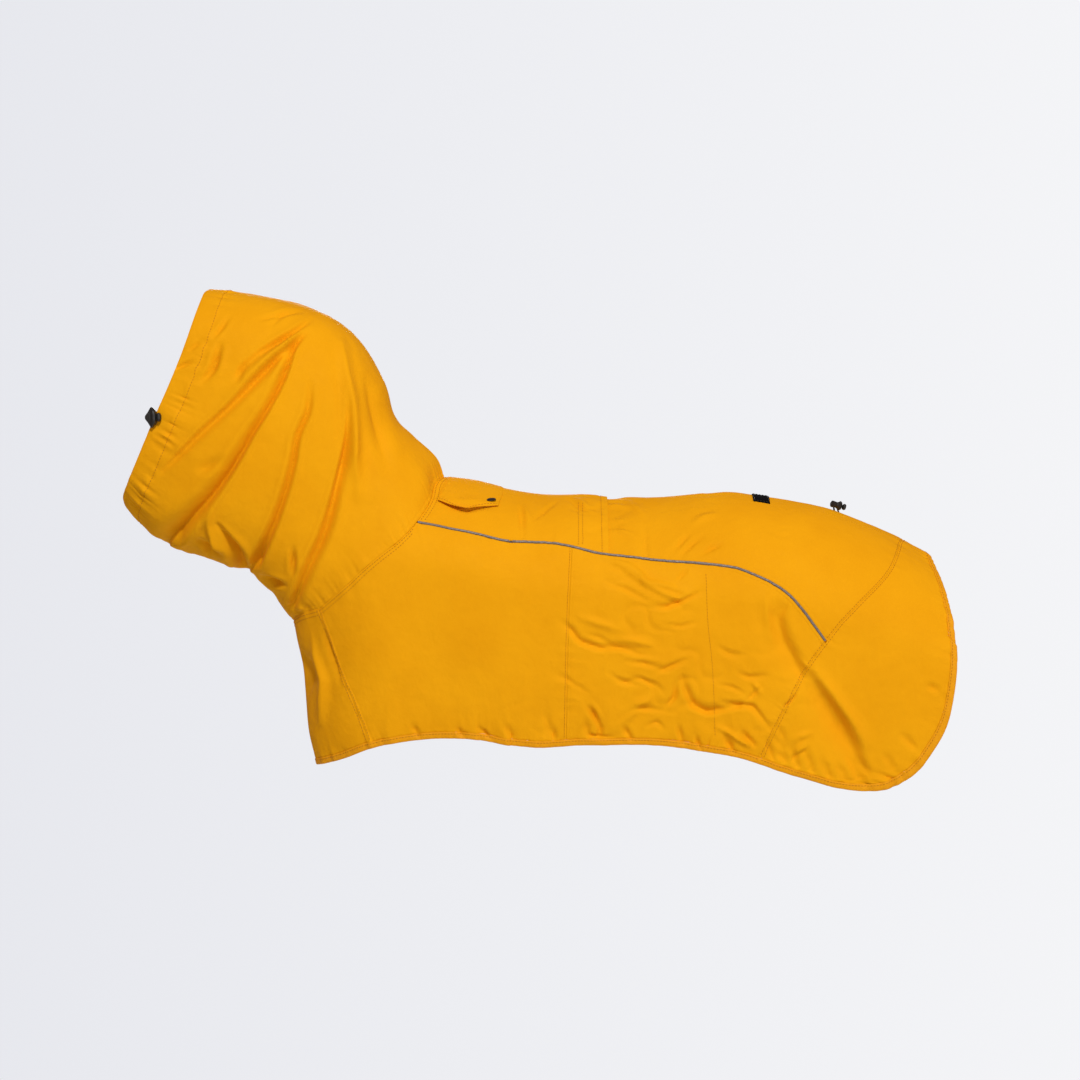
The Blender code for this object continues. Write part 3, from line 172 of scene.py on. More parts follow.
BODY_CREASES = [Crease(lean, points) for lean, *points in (
    (0.2, (16, -124, 0.3, 5), (30, -134, 3.6, 6), (39, -146, 4.6, 6), (60, -153, 4.2, 7),
     (77, -152, 3.4, 6), (96, -158, 3.2, 6), (118, -161, 0.4, 6)),
    (0, (44, -138, 0.3, 4), (60, -143, 2, 5), (76, -152, 0.4, 4)),
    (0, (84, -166, 0.3, 4), (104, -168, 2.4, 5), (130, -176, 0.3, 5)),
    (0, (66, -176, 0.2, 4), (82, -186, 2, 5), (104, -190, 0.2, 5)),
    (0, (124, -214, 0.3, 4), (134, -202, 2.4, 5), (137, -188, 0.3, 5)),
    (0, (64, -86, 0.2, 5), (86, -94, 2.2, 5), (112, -108, 0.4, 5)),
    (0, (176, -150, 0.2, 5), (188, -158, 1.8, 6), (206, -160, 0.2, 6)),
    (0, (196, -176, 0.2, 5), (208, -182, 2, 5), (228, -180, 0.2, 5)),
    (0, (176, -188, 0.2, 4), (192, -192, 1.8, 4), (206, -199, 0.2, 4)),
    (0, (114, -178, 0.4, 5), (131, -171, 3.4, 5), (149, -163, 0.4, 5)),
    (0.3, (141, -177, 0.7, 6), (144, -192, 4.4, 7), (153, -210, 6, 8), (167, -217, 6.2, 8),
     (184, -214, 3.6, 8), (199, -211, 2.6, 7)),
    (-0.2, (178, -205, 0.4, 5), (196, -209, 2.8, 6), (213, -211, 3.4, 6), (221, -221, 2.6, 6),
     (231, -235, 0.4, 6)),
    (0.3, (109, -112, 0.4, 6), (128, -112, 4.2, 6), (141, -106, 4.5, 6), (163, -96, 0.6, 6)),
    (0, (136, -87, 0, 4), (141, -80, 2.2, 4), (146, -75, 0.7, 4)),
    (0, (99, -75, 0, 6), (104, -85, -2.5, 6), (122, -90, -2.8, 6), (153, -98, 0, 6)),
    (0, (45, -227, 0.4, 5), (49, -240, 3.1, 5), (76, -242, 0.7, 5)),
    (0, (49, -209, 0, 5), (53, -218, 2.2, 5), (57, -226, 0.8, 5)),
    (0.2, (75, -228, 0.4, 6), (96, -213, 3.9, 6), (135, -217, 0.4, 6)),
    (-0.5, (247, -102, 0.8, 12), (239, -123, 5.4, 24), (244, -145, 7.4, 26), (257, -170, 6, 22),
     (264, -185, 2.4, 16)),
    (0, (226, -98, 0, 9), (227, -122, -2.6, 10), (234, -150, 0, 10)),
    (-0.6, (268, -176, 2, 16), (287, -204, 9, 26), (303, -229, 12, 30), (314, -252, 9, 28),
     (323, -277, 4, 20)),
    (0, (273, -172, -1.4, 12), (290, -197, -4.8, 13), (312, -228, -4.4, 14), (330, -256, 0, 13)),
    (0, (233, -240, 0.7, 3), (239, -248, 3.1, 4), (247, -262, 1.4, 4)),
    (0, (251, -262, 0, 6), (260, -254, -2.8, 6), (269, -246, 0, 6)),
    (0, (132, -58, 0.4, 5), (141, -47, 3.1, 5), (150, -38, 0.4, 5)),
    (0, (139, -62, 0.4, 5), (150, -50, 2.8, 5), (163, -40, 0.4, 5)),
    (0, (158, -62, 0, 5), (172, -52, 2.8, 5), (185, -47, 0, 5)),
    (0, (-8, -26, 0.4, 3), (4, -16, 2.2, 3), (17, -5, 0.4, 3)),
    (0, (-16, -9, 0, 4), (-13, -18, -1.8, 4), (-9, -28, 0, 4)),
    (0, (-20, -10, 0.4, 4), (-18, -25, 3.2, 5), (-17, -42, 1.4, 4)),
    (0, (27, -3, 0.6, 3), (38, -11, 2, 3.5), (51, -21, 0.3, 3)),
    (0, (33, -2, 0, 3), (44, -9, -1.6, 3.5), (53, -18, 0, 3)),
    (0, (29, -10, 0.3, 3), (37, -16, 1.6, 3), (45, -21, 0.2, 3)),
    (0, (71, -22, 0, 4), (79, -24, -1.6, 4), (86, -25, 0, 4)),
    (0, (86, -4, 0, 5), (97, -13, -2.6, 5), (107, -24, 0, 5)),
    (0, (104, -24, 0.3, 4), (105, -44, 1.8, 4), (106, -60, 2.6, 3.5)),
    (0, (-66, -42, 0.8, 2.5), (-66, -47, 0.8, 2.5), (-65, -52, 0, 2.5)),
    (0, (-52, -43, 1.6, 2.5), (-52, -48, 1.6, 2.5), (-53, -55, 0, 2.5)),
    (0, (-29, -45, 1.6, 2.5), (-30, -50, 1.6, 2.5), (-31, -58, 0, 2.5)),
    (0, (71, -64, 0, 6), (88, -70, -2.4, 6), (101, -80, -2.4, 6), (108, -88, 0, 6)),
    (0, (-92, -9.5, 0.2, 4), (-82, -12, 3, 5), (-73, -13.5, 4, 6), (-62, -12, 3, 5),
     (-46, -11.5, 0.3, 4)),
    (0, (-228, -140, -0.7, 6), (-224, -161, -3.8, 8), (-216, -185, -5.4, 9),
     (-217, -205, -5.4, 10), (-219, -227, -2.1, 9)),
    (-0.2, (-216, -134, 0.5, 5), (-212, -150, 2.6, 6), (-204, -172, 2.2, 6), (-199, -190, 0.3, 5)),
    (0, (-241, -152, 0.7, 10), (-235, -168, 7.2, 14), (-231, -182, 7.2, 14),
     (-234, -204, 0.7, 12)),
    (0, (59, -61, 0, 5), (82, -71, -2, 5), (104, -88, -2.6, 5), (124, -98, -3, 5),
     (139, -104, -3, 5), (160, -94, 0, 5)),
    (0, (73, -143, 0, 5), (96, -146, -2.4, 5), (118, -152, 0, 5)),
    (0, (89, -180, 0.3, 4), (117, -190, 2, 4), (124, -198, 0.3, 4)),
    (0, (76, -230, 0, 8), (96, -212, -3.4, 9), (119, -197, 0, 8)),
    (0.2, (44, -208, 0.4, 5), (53, -219, 3.6, 6), (60, -234, 4.4, 6), (58, -242, 1, 5)),
    (0, (106, -231, 0.4, 4), (117, -227, 2.6, 4), (124, -234, 0.4, 4)),
    (0, (155, -240, 1, 4), (158, -247, 3.4, 4), (161, -254, 1.5, 4)),
    (0, (172, -229, 0, 5), (188, -237, -3.2, 5), (203, -247, -2.8, 5), (215, -252, 0, 5)),
    (0, (211, -186, 0, 5), (217, -192, -2.4, 5), (222, -200, 0, 5)),
    (0, (238, -230, 0.4, 4), (242, -240, 3.6, 5), (246, -253, 1, 4)),
    (0, (250, -268, 0.5, 4), (258, -258, 3.4, 4), (268, -254, 0.4, 4)),
    (0, (252, -246, 0, 5), (262, -240, -3, 5), (274, -237, 0, 5)),
    (0, (205, -205, 0.4, 3), (214, -199, 2.2, 3), (222, -191, 0.4, 3)),
    (0, (243, -212, 0.4, 3), (251, -205, 2.2, 3), (259, -196, 0.4, 3)),
    (0, (2, -215, 0, 4), (8, -228, 2, 4), (6, -240, 1, 4)),
    (0, (-62, -232, 1, 4), (-55, -238, 3, 4), (-50, -243, 1, 4)),
    (0, (12, -176, 0.2, 4), (30, -186, 1.8, 4), (52, -200, 0.2, 4)),
    (0, (34, -120, 0, 7), (58, -128, -2, 7), (84, -136, 0, 7)),
    (0, (120, -128, 0.2, 4), (140, -131, 1.6, 4), (158, -127, 0.2, 4)),
    (0, (62, -8, 0.2, 3), (78, -9, -1.8, 4), (92, -13, 0, 4)),
    (0, (68, -33, 0, 4), (84, -36, -1.8, 4), (97, -42, 0, 4)),
    (0, (150, -30, 0, 5), (163, -22, -1.8, 6), (180, -18, 0, 6)),
)]
# Short creases that run in from the hem: x and z of the inner end and of the foot on the hem
HEM_CREASES = (
    (234.7, -254.9, 245.3, -265.6), (248.9, -247.6, 256.7, -270.1), (263.9, -252.9, 272.0, -275.5),
    (280.9, -261.8, 288.7, -280.8), (296.9, -267.1, 305.1, -284.1), (318.0, -262.0, 330.0, -281.0),
    (343.0, -256.0, 352.0, -272.0), (360.0, -238.0, 374.0, -252.0), (386.0, -190.0, 398.0, -195.0),
    (136.9, -228.0, 142.2, -246.8),
    (182.8, -240.0, 194.0, -256.9), (199.0, -233.6, 213.3, -249.8), (-36.0, -228.0, -30.0, -240.0),
    (-84.0, -231.0, -78.0, -240.0), (-128.0, -229.0, -122.0, -240.0), (82.0, -230.0, 90.0, -243.0),
    (10.0, -231.0, 14.0, -242.0), (226.0, -246.0, 232.0, -262.0), (308.0, -258.0, 318.0, -283.0),
)
HEM_CREASE_LEAN, HEM_CREASE_WIDTH = 0.15, 5.5
HEM_CREASE_DEPTHS = (0.3, 3.3, 1.98)    # at the inner end, halfway and on the hem
BODY_CREASES += [
    Crease(HEM_CREASE_LEAN, [(x + share * (foot_x - x), z + share * (foot_z - z), depth,
                              HEM_CREASE_WIDTH)
                             for share, depth in zip((0, 0.5, 1), HEM_CREASE_DEPTHS)])
    for x, z, foot_x, foot_z in HEM_CREASES]
CENTRE_FADE = 14.0          # creases fade out this near the centre plane
RIGHT_SHIFT_X, RIGHT_SHIFT_Z = 5.0, -4.0
RIGHT_SHARES = (0.8, 1.05, 0.65)
RIGHT_WANDER = ((6.0, 80.0, 21),)       # how far the right side's creases wander, over what size
CREASE_REACH = 3.5          # widths beyond which a crease is left out
CREASE_STEPS = 8            # short steps for each of its points
CREASE_CURVE = {"hood": 1.0, "body": 0.3}       # share of a smooth curve; the rest is straight
CREASE_FLOOR = {"hood": 0.20, "body": 0.22}     # roundness of a crease's floor, of its width
CREASE_POWER = 1.35
CREASE_WIDTH = {"hood": 0.58, "body": 0.40}     # share of the widths in the tables
CREASE_DEPTH = {"hood": 1.66, "body": 1.14}     # share of the depths in the tables
CREASE_RIM = {"hood": 0.24, "body": 0.12}       # height of the cloth bunched up beside a crease
CREASE_RIM_PLACE, CREASE_RIM_WIDTH = 2.1, 1.1       # as shares of its width
SMALL_CREASE, SMALL_GAIN = 2.8, 2.0     # shallow creases are deepened the most
COLLAR_CALM = 9.0           # creases fade out this near the collar seam

# Edges of cloth: gap to the seam line, dip of the seam and its width, height and width of the
# turnings under it, and height, spacing, reach and place of the puckers
Edge = namedtuple("Edge", "gap dip roll turned width pucker spacing reach peak")
SEAM = Edge(SEAM_GAP, 0.60, 0.8, 0.15, 2.1, 0.80, 6.0, 6.0, 2.0)
FRONT_SEAM = Edge(SEAM_GAP, 0.40, 0.7, 0.40, 3.2, 0.60, 7.0, 6.0, 2.0)
COLLAR = Edge(SEAM_GAP, 0.2, 0.7, 0.20, 6.5, 0.55, 9.0, 9.0, 2.0)
NECK = Edge(SEAM_GAP, 0.2, 0.8, 0.10, 4.0, 1.10, 9.0, 11.0, 4.0)
PIPED = Edge(PIPING_GAP, 0.30, 0.9, 0.15, 3.5, 0.65, 8.0, 8.0, 0.0)
HEM = Edge(SEAM_GAP, 0.30, 0.7, 0.0, 5.0, 2.1, 8.0, 9.0, 0.0)
CROWN = Edge(SEAM_GAP, 0.25, 0.8, 0.05, 3.0, 0.35, 10.0, 6.0, 1.0)
OPENING = Edge(0.0, 0.3, 0.8, 0.45, 21.0, 3.0, 8.0, 8.0, 20.0)
FOLDED = Edge(0.0, 0.25, 0.7, 0.40, 7.0, 0.20, 9.0, 6.0, 3.0)
PRESSED = Edge(0.0, 0.55, 1.8, 0.15, 4.0, 0.15, 9.0, 6.0, 3.0)
TUCKED = Edge(0.0, 0.0, 1.0, 0.0, 5.0, 0.0, 9.0, 6.0, 0.0)
LABEL_EDGE = Edge(0.0, 0.35, 0.6, 0.0, 1.5, 0.05, 5.0, 3.0, 0.0)
# Layers of noise: height, share of the spacing or size in millimetres, and seed; and patches in
# which something comes and goes: size, sharpness and seed
PUCKER_LAYERS = ((0.8, 1.0, 31), (0.4, 0.5, 32))
PUCKER_VALLEYS = ((1.0, 1.0, 34),)
PUCKER_REACHES = ((0.7, 1.5, 33),)
PUCKER_STEEPNESS, PUCKER_LEVEL = 3.0, 0.6
PUCKER_LEAST = 0.3          # share of the puckers that stays where they go
PUCKER_PATCHES = (42.0, 1.8, 35)
TURNING_STEP = 1.6
GROOVE = 0.28               # the stitches draw the cloth in by this much
GROOVE_WIDTH = 0.9
TURNED_IN = (0.9, 1.8, 3.0)     # rows of the turning that a seam hides, from its edge inwards
TURNING_ROW = 3             # row of the cloth that shows which way it runs at its edge
COLLAR_CENTRE = (-165.0, 0.0, -58.0)
COLLAR_REACH = 9.0          # turnings this near the collar seam point at the middle of the neck
COLLAR_FADE = 1.4           # reaches from the seam at which this has faded out

# Unevenness of the cloth: slow ripples, and finer crumples, which come and go
RIPPLES = ((0.55, 52.0, 1), (0.26, 24.0, 2), (0.07, 10.0, 3))
CRUMPLE = 3.6
CRUMPLE_SIZE = 24.0
CRUMPLE_LAYERS = ((1.0, 1.0, 11), (0.35, 0.5, 12))
CRUMPLE_PATCHES = (60.0, 1.6, 13)
CRUMPLE_TOP = 0.5           # the crumples are level above this
CRUMPLE_ROUND = 0.05        # roundness of the valleys
CRUMPLE_X, CRUMPLE_REACH = 125.0, 110.0     # the rear of the body is crumpled the most
CRUMPLE_LEAST = 0.16

# Hem binding. Round the folded tape: share of its width from the inner edge, and height
BINDING_PROFILE = ((0.03, -0.45), (0.0, 0.0), (0.03, 0.35), (0.12, 0.52), (0.3, 0.50), (0.5, 0.60),
                   (0.75, 0.55), (0.92, 0.28), (1.0, -0.35), (0.95, -0.95), (0.8, -1.2),
                   (0.5, -1.3), (0.2, -1.25), (0.06, -1.05), (0.0, -0.75))
BINDING_TOP = slice(3, 7)   # the points of the profile that face outwards
BINDING_STEP = 1.7
BINDING_PUCKER = 0.8        # share of the cloth's puckers
SCALLOPS = ((0.35, 7.0, 41),)
BEAD_NOISE = ((0.05, 6.0, 51),)
PIPING_RINGS, PIPING_SIDES = 300, 12

# Flap over the leash slit, press stud and label
FLAP_EDGE = ((-100.6, -6.8), (-89.2, -12.2), (-73.5, -15.6), (-61.1, -13.4), (-41.4, -12.0))
FLAP_FRONT = ((-95.0, -18.0), (-92.0, 6.0))
FLAP_REAR = ((-40.5, -18.0), (-36.5, 12.0))
FLAP_CLEARANCE = 0.25
FLAP_PLY = 0.6
FLAP_LIFT, FLAP_LIFT_X, FLAP_LIFT_REACH = 5.0, -74.0, 26.0
FLAP_LIFT_POWER = 2.5
SNAP_X, SNAP_Z = -49.4, -6.0
# radius and height of the press stud's turned cap
SNAP_PROFILE = ((5.0, -0.4), (5.5, -0.3), (5.7, 0.0), (5.6, 0.35), (5.2, 0.6), (4.8, 0.68),
                (4.4, 0.6), (4.1, 0.64), (3.7, 0.8), (2.8, 1.0), (1.7, 1.08), (0.6, 1.1))
SNAP_SIDES = 48
SNAP_RISE = 0.9
SNAP_LEAN, SNAP_TIP = 1.5, -0.28     # the flap's lifted edge tips the stud up and forwards
LABEL_X = (211.5, 228.3)
LABEL_GIRTH = (1.5, 26.5)
LABEL_THICKNESS = 0.8
LABEL_CLEARANCE = 0.4

# Cord locks: place along the block, width and depth, as shares of its size
LOCK_SIZE = (12.2, 20.4, 7.5)
LOCK_SECTIONS = ((-0.50, 0.06, 0.40), (-0.45, 0.15, 0.66), (-0.22, 0.52, 0.88),
                 (0.06, 1.00, 0.80), (0.28, 0.76, 1.25), (0.50, 0.50, 0.84))
PLUNGER_SIZE = (3.9, 8.6, 6.2)
PLUNGER_SECTIONS = ((-0.50, 0.80, 0.80), (0.10, 1.00, 1.00), (0.50, 0.60, 0.70))
LOCK_SQUARENESS = 0.55
LOCK_SIDES = LOCK_RINGS = 40
LOCK_END, LOCK_END_LEAST = 0.06, 0.25       # share of its length over which each end rounds off
RIB_DEPTH, RIB_SPACING = 0.35, 2.1
RIBBED_END, RIBBED_END_FADE = 0.288, 0.18   # the ribs keep away from the ends
RIBBED_FROM, RIBBED_FADE = 0.6, 0.3         # and from the narrow sides
FASTENER_GAP = 0.3
HOOD_LOCK_TURN, HOOD_LOCK_RING = 0.570, 0.25
HOOD_LOCK_OUTSIDE = 1.2
HOOD_LOCK_CLEARANCE = 0.6
HOOD_LOCK_TILT = 38.0
TAIL_LOCK_X = 294.4
TAIL_LOCK_RISE = 5.8
TAIL_LOCK_TILT = -15.0
TAIL_CORD_FEET = (-0.3, 4.0)
TAIL_CORD_LEAN = 1.2
TAIL_CORD_RADIUS = 1.0
CORD_RINGS, CORD_SIDES = 14, 16

# Stitches
STITCH_PITCH = 3.1
STITCH_LENGTH = 2.3
FIRST_STITCH = 0.5
THREAD_RADIUS = 0.27
THREAD_SIDES = 5
# Along a stitch: share of its length, height over the cloth and share of the radius
THREAD_PROFILE = ((0.0, -0.22, 0.5), (0.2, 0.1, 1.0), (0.8, 0.1, 1.0), (1.0, -0.22, 0.5))
# Rows beside a border: panel, border (its first or last row, first or last column), distance from
# it, and the share of the row's length at which it ends
SIDE_ROWS = (("side_front", 0, 2.2), ("side_front", 1, 1.8), ("side_front", 2, 2.4, 0.45),
             ("side_front", 2, 6.0, 0.45), ("side_rear", 1, 1.8))
BODY_ROWS = (("back_yoke_front", 0, 2.4), ("back_yoke_front", 0, 6.0), ("back_yoke_front", 1, 6.5),
             ("back_yoke_rear", 1, 1.8), ("tail_panel", 0, 1.8), ("chest_panel", 0, 2.0),
             ("chest_panel", 1, 2.0), ("chest_panel", 2, 2.4), ("chest_panel", 2, 6.0),
             ("leash_flap", 3, 3.0))
HEM_ROW, LABEL_ROW = 1.0, 1.3
# x and z of single lines of stitches
VENT_STITCHES = (((38.4, -7.0), (38.6, -50.0)), ((42.6, -7.0), (42.8, -50.0)))
FAINT_STITCHES = ((166.0, -78.0), (168.0, -129.0), (172.0, -167.0), (174.0, -205.0),
                  (175.0, -243.0))

# How finely lines and surfaces are measured
NORMAL_STEP = 0.4
RING_STEP = 0.01
TURN_STEP = 0.002
LINE_TRIES = 2001
HEM_SAMPLES = 500
SEAM_SAMPLES = 60
CROSSING_TRIES = 400
CROSSING_ROUNDS = 4
CROSSING_WINDOW = 3         # steps that are searched again more finely
ROW_STEP = 2.0              # between the places of a free row of stitches
ROW_CORNERS = 4             # nearest corners of the cloth that each place is taken from
ROW_SOFTNESS = 0.05         # keeps a corner at no distance from weighing everything
FAR = 1000.0                # set between a place and the corners on the other side
MOST_GIRTH = 420.0
HALVINGS = 36
COARSE_STEPS = 72
SHARP_ANGLE = 50

# Cloth: name, colour, colour in patches, roughness, pitch of the weave and sheen
CLOTH_MATERIALS = (
    ("cloth", (0.86, 0.388, 0.005), (0.80, 0.345, 0.004), 0.58, 0.55, 0.02),
    ("cloth_inside", (0.80, 0.34, 0.012), (0.75, 0.30, 0.01), 0.75, 0.55, 0.1),
    ("label", (0.008, 0.008, 0.009), (0.005, 0.005, 0.006), 0.8, 0.5, 0.0),
)
CLOTH_SHINE = {"Specular IOR Level": 0.02, "Sheen Roughness": 0.5,
               "Sheen Tint": (1.0, 0.72, 0.25, 1.0)}
CLOTH_BUMPS = ((90.0, 0.0018), (330.0, 0.0004))     # scale and height in metres
WEAVE_HEIGHT = 0.00006
# Other materials: name, colour, colour in patches, roughness, scale and height of the grain,
# metallic and specular
PLAIN_MATERIALS = (
    ("binding", (0.84, 0.36, 0.003), (0.76, 0.31, 0.002), 0.62, 900.0, 0.0001, 0.0, 0.15),
    # thread: its own orange, darkened far below the cloth as painted shade of the needle holes and
    # stitch grooves
    ("thread", (0.50, 0.17, 0.002), (0.40, 0.13, 0.001), 0.6, 2500.0, 0.00005, 0.0, 0.2),
    ("reflective", (0.26, 0.225, 0.21), (0.13, 0.11, 0.10), 0.45, 700.0, 0.00008, 0.25, 0.5),
    ("plastic", (0.012, 0.012, 0.012), (0.007, 0.007, 0.007), 0.45, 1200.0, 0.00004, 0.0, 0.5),
    ("metal", (0.03, 0.026, 0.026), (0.018, 0.016, 0.016), 0.42, 600.0, 0.00002, 0.6, 0.5),
    ("cord", (0.02, 0.018, 0.017), (0.008, 0.008, 0.008), 0.7, 1500.0, 0.0002, 0.0, 0.25),
    ("label_thread", (0.02, 0.02, 0.02), (0.01, 0.01, 0.01), 0.6, 2500.0, 0.00005, 0.0, 0.5),
)
# Scales of the patches of colour and of shine, and how far the roughness falls and rises
CLOTH_PATCHES, CLOTH_SPREAD = (14.0, 60.0), (0.05, 0.06)
GRAIN_SHARES, PLAIN_SPREAD = (1.0, 0.25), (0.06, 0.08)
NOISE_LOW, NOISE_HIGH = 0.3, 0.7        # between which nearly all of a noise lies
BUMP_STRENGTH = 0.4
WAVE_RATE = 20.0            # a wave texture turns by this many radians a unit

# Stage, in metres
FLOOR_Z = -0.92
FLOOR_RADIUS = 1.7
FLOOR_PLAIN = 0.55          # share of the radius inside which the floor doesn't fade
FLOOR_COLOURS = ((0.78, 0.84, 0.87), (0.75, 0.81, 0.84))
BACKGROUND_LEFT = (0.800, 0.808, 0.852)
BACKGROUND_RIGHT = (0.905, 0.909, 0.930)
BACKGROUND_REACH = 0.17
WORLD_LIGHT = 0.33
WORLD_TINT = (1.0, 0.79, 0.68)      # light that has met the cloth and the room before
# name, place and size in metres, power in watts, colour
LIGHTS = (
    ("key", (0.0, -2.75, 2.0), 0.42, 73.0, (1.0, 0.99, 0.97)),
    ("tail_side", (2.6, -2.4, 0.3), 1.2, 26.0, (1.0, 0.99, 0.98)),
    ("far_side", (-0.6, 3.0, 0.7), 1.4, 60.0, (0.98, 0.99, 1.0)),
)


# ---- smooth curves, tables and noise

def unit(vectors):
    """Vectors of length 1 in the same directions."""
    return vectors / np.linalg.norm(vectors, axis=-1, keepdims=True)


def sample(run, table, distances):
    """Rows of a table at distances along its run, straight between its own rows."""
    return np.stack([np.interp(distances, run, column) for column in table.T], axis=-1)


def straight(start, end, steps=COARSE_STEPS):
    """Evenly spaced rows from start to end."""
    return np.linspace(start, end, steps + 1)


def smooth(knots, values, at):
    """Values of a smooth cubic through a table, at any array of places."""
    knots, values, at = [np.asarray(part, float) for part in (knots, values, at)]
    columns = (1,) * (values.ndim - 1)
    gaps = np.diff(knots)
    slopes = np.diff(values, axis=0) / gaps.reshape(-1, *columns)
    weight = (gaps[:-1] / (gaps[:-1] + gaps[1:])).reshape(-1, *columns)
    between = slopes[:-1] * (1 - weight) + slopes[1:] * weight
    tangents = np.concatenate([slopes[:1], between, slopes[-1:]])
    spot = np.clip(np.searchsorted(knots, at) - 1, 0, len(gaps) - 1)
    gap = gaps[spot].reshape(at.shape + columns)
    t = np.clip((at - knots[spot]) / gaps[spot], 0, 1).reshape(at.shape + columns)
    return (values[spot] * (1 + 2 * t) * (1 - t) ** 2 + tangents[spot] * gap * t * (1 - t) ** 2
            + values[spot + 1] * t ** 2 * (3 - 2 * t) - tangents[spot + 1] * gap * t ** 2 * (1 - t))


def soft_step(value):
    """0 below 0, 1 above 1 and a smooth rise between."""
    value = np.clip(value, 0, 1)
    return value * value * (3 - 2 * value)


def lattice(cells, seed):
    """A value from -1 to 1 for each cell of a lattice, the same on every run."""
    mixed = cells[..., 0] * 73856093 ^ cells[..., 1] * 19349663 ^ cells[..., 2] * 83492791
    mixed = (mixed ^ seed * 40503) & 0xFFFFFFFF
    mixed = ((mixed ^ mixed >> 15) * 739982445) & 0xFFFFFFFF
    mixed = ((mixed ^ mixed >> 12) * 695872825) & 0xFFFFFFFF
    return ((mixed ^ mixed >> 15) & 0xFFFF) / 32767.5 - 1


def noise(points, size, seed):
    """Smooth uneven values from about -1 to 1 over space, with bumps of a size."""
    place = points / size
    cell = np.floor(place).astype(np.int64)
    part = place - cell
    part = part ** 3 * (part * (part * 6 - 15) + 10)
    total = np.zeros(points.shape[:-1])
    for corner in itertools.product((0, 1), repeat=3):
        weight = np.prod(np.where(corner, part, 1 - part), axis=-1)
        total += weight * lattice(cell + corner, seed)
    return total


def layered(points, size, layers):
    """Noise in layers, each with its height, its share of the size and its seed."""
    return sum(height * noise(points, size * share, seed) for height, share, seed in layers)


def patches(points, size, sharpness, seed):
    """Shares from 0 to 1 that come and go in patches of a size."""
    return soft_step(0.5 + sharpness * noise(points, size, seed))


def run_along(points):
    """Distance from the first row to each row of a grid, along its columns."""
    steps = np.linalg.norm(np.diff(points, axis=0), axis=-1)
    return np.concatenate([np.zeros((1,) + steps.shape[1:]), np.cumsum(steps, axis=0)])


class Line:
    """A smooth line through points, measured by the distance along it."""

    def __init__(self, points):
        self.points = np.asarray(points, float)
        self.knots = run_along(self.points)
        self.length = self.knots[-1]

    def at(self, distance):
        """Points at distances along the line."""
        return smooth(self.knots, self.points, distance)

    def nearest(self, point):
        """Distance along the line of its place nearest to a point."""
        tries = np.linspace(0, self.length, LINE_TRIES)
        return tries[np.argmin(np.linalg.norm(self.at(tries) - np.asarray(point), axis=1))]

    def between(self, start, end, count=COARSE_STEPS):
        """Points from one distance along the line to another, with count steps."""
        return self.at(straight(start, end, count))

    def beside(self, offset):
        """The line at an offset to its left, seen along its direction."""
        distance = straight(0, self.length, HEM_SAMPLES)
        ahead = self.at(np.minimum(distance + NORMAL_STEP, self.length))
        x, z = unit(ahead - self.at(np.maximum(distance - NORMAL_STEP, 0))).T
        return Line(self.at(distance) + offset * np.stack([-z, x], axis=1))


def crossing(first, second):
    """Distances along two lines at the place where they cross."""
    whole = np.array([first.length, second.length])
    low, high = np.zeros(2), whole
    for _ in range(CROSSING_ROUNDS):
        tries = np.linspace(low, high, CROSSING_TRIES).T
        apart = first.at(tries[0])[:, None] - second.at(tries[1])[None, :]
        best = np.unravel_index(np.argmin(np.linalg.norm(apart, axis=-1)), apart.shape[:2])
        found = tries[(0, 1), best]
        window = (high - low) * CROSSING_WINDOW / CROSSING_TRIES
        low, high = np.maximum(found - window, 0), np.minimum(found + window, whole)
    return found


# ---- the body and hood surfaces

BODY_TABLE = np.array(BODY_SECTIONS, float)
FRONT_TABLE = np.array(FRONT_LINE, float)
FRONT_QUARTER = math.pi / 2 * math.sqrt((FRONT_ROUND ** 2 + FRONT_HALF_WIDTH ** 2) / 2)
LEFT_TO_RIGHT = np.array([1.0, -1.0])
ROUND_THE_FRONT = np.array([-1.0, 1.0])


def wrap(x, girth):
    """Half width and height of the body, open in front, at a girth from the centre back."""
    ridge, half_width, crown = np.moveaxis(smooth(BODY_TABLE[:, 0], BODY_TABLE[:, 1:], x), -1, 0)
    depth = crown + GABLE_SLOPE * half_width
    quarter = math.pi / 2 * np.sqrt((half_width ** 2 + depth ** 2) / 2)
    reach = np.abs(girth)
    angle = np.minimum(reach / quarter, 1) * math.pi / 2
    side = half_width * np.sin(angle)
    gable = GABLE_SLOPE * (np.hypot(side, CREST_RADIUS) - CREST_RADIUS)
    below = np.maximum(reach - quarter, 0)
    height = ridge - gable - crown * (1 - np.cos(angle)) - below
    return side * (1 - TUCK * (below / TUCK_LENGTH) ** 2), height


def front_line(z):
    """x of the centre front."""
    return smooth(FRONT_TABLE[:, 0], FRONT_TABLE[:, 1], z)


def front_angle(x, z):
    """Angle round the chest: 0 on the centre front, a right angle where the side begins."""
    return np.arccos(1 - np.clip((x - front_line(z)) / FRONT_ROUND, 0, 1))


def body_surface(x, girth):
    """Points of the body surface for arrays of x and girth."""
    side, z = wrap(x, girth)
    y = -np.sign(girth) * side * np.sin(front_angle(x, z))
    return np.stack([x + 0 * y, y, z], axis=-1)


def girth_at(x, z):
    """Girth of the place on the side with this x and height."""
    x, z = np.broadcast_arrays(np.asarray(x, float), np.asarray(z, float))
    low, high = np.zeros(x.shape), np.full(x.shape, MOST_GIRTH)
    for _ in range(HALVINGS):
        middle = (low + high) / 2
        above = wrap(x, middle)[1] > z
        low, high = np.where(above, middle, low), np.where(above, high, middle)
    return (low + high) / 2


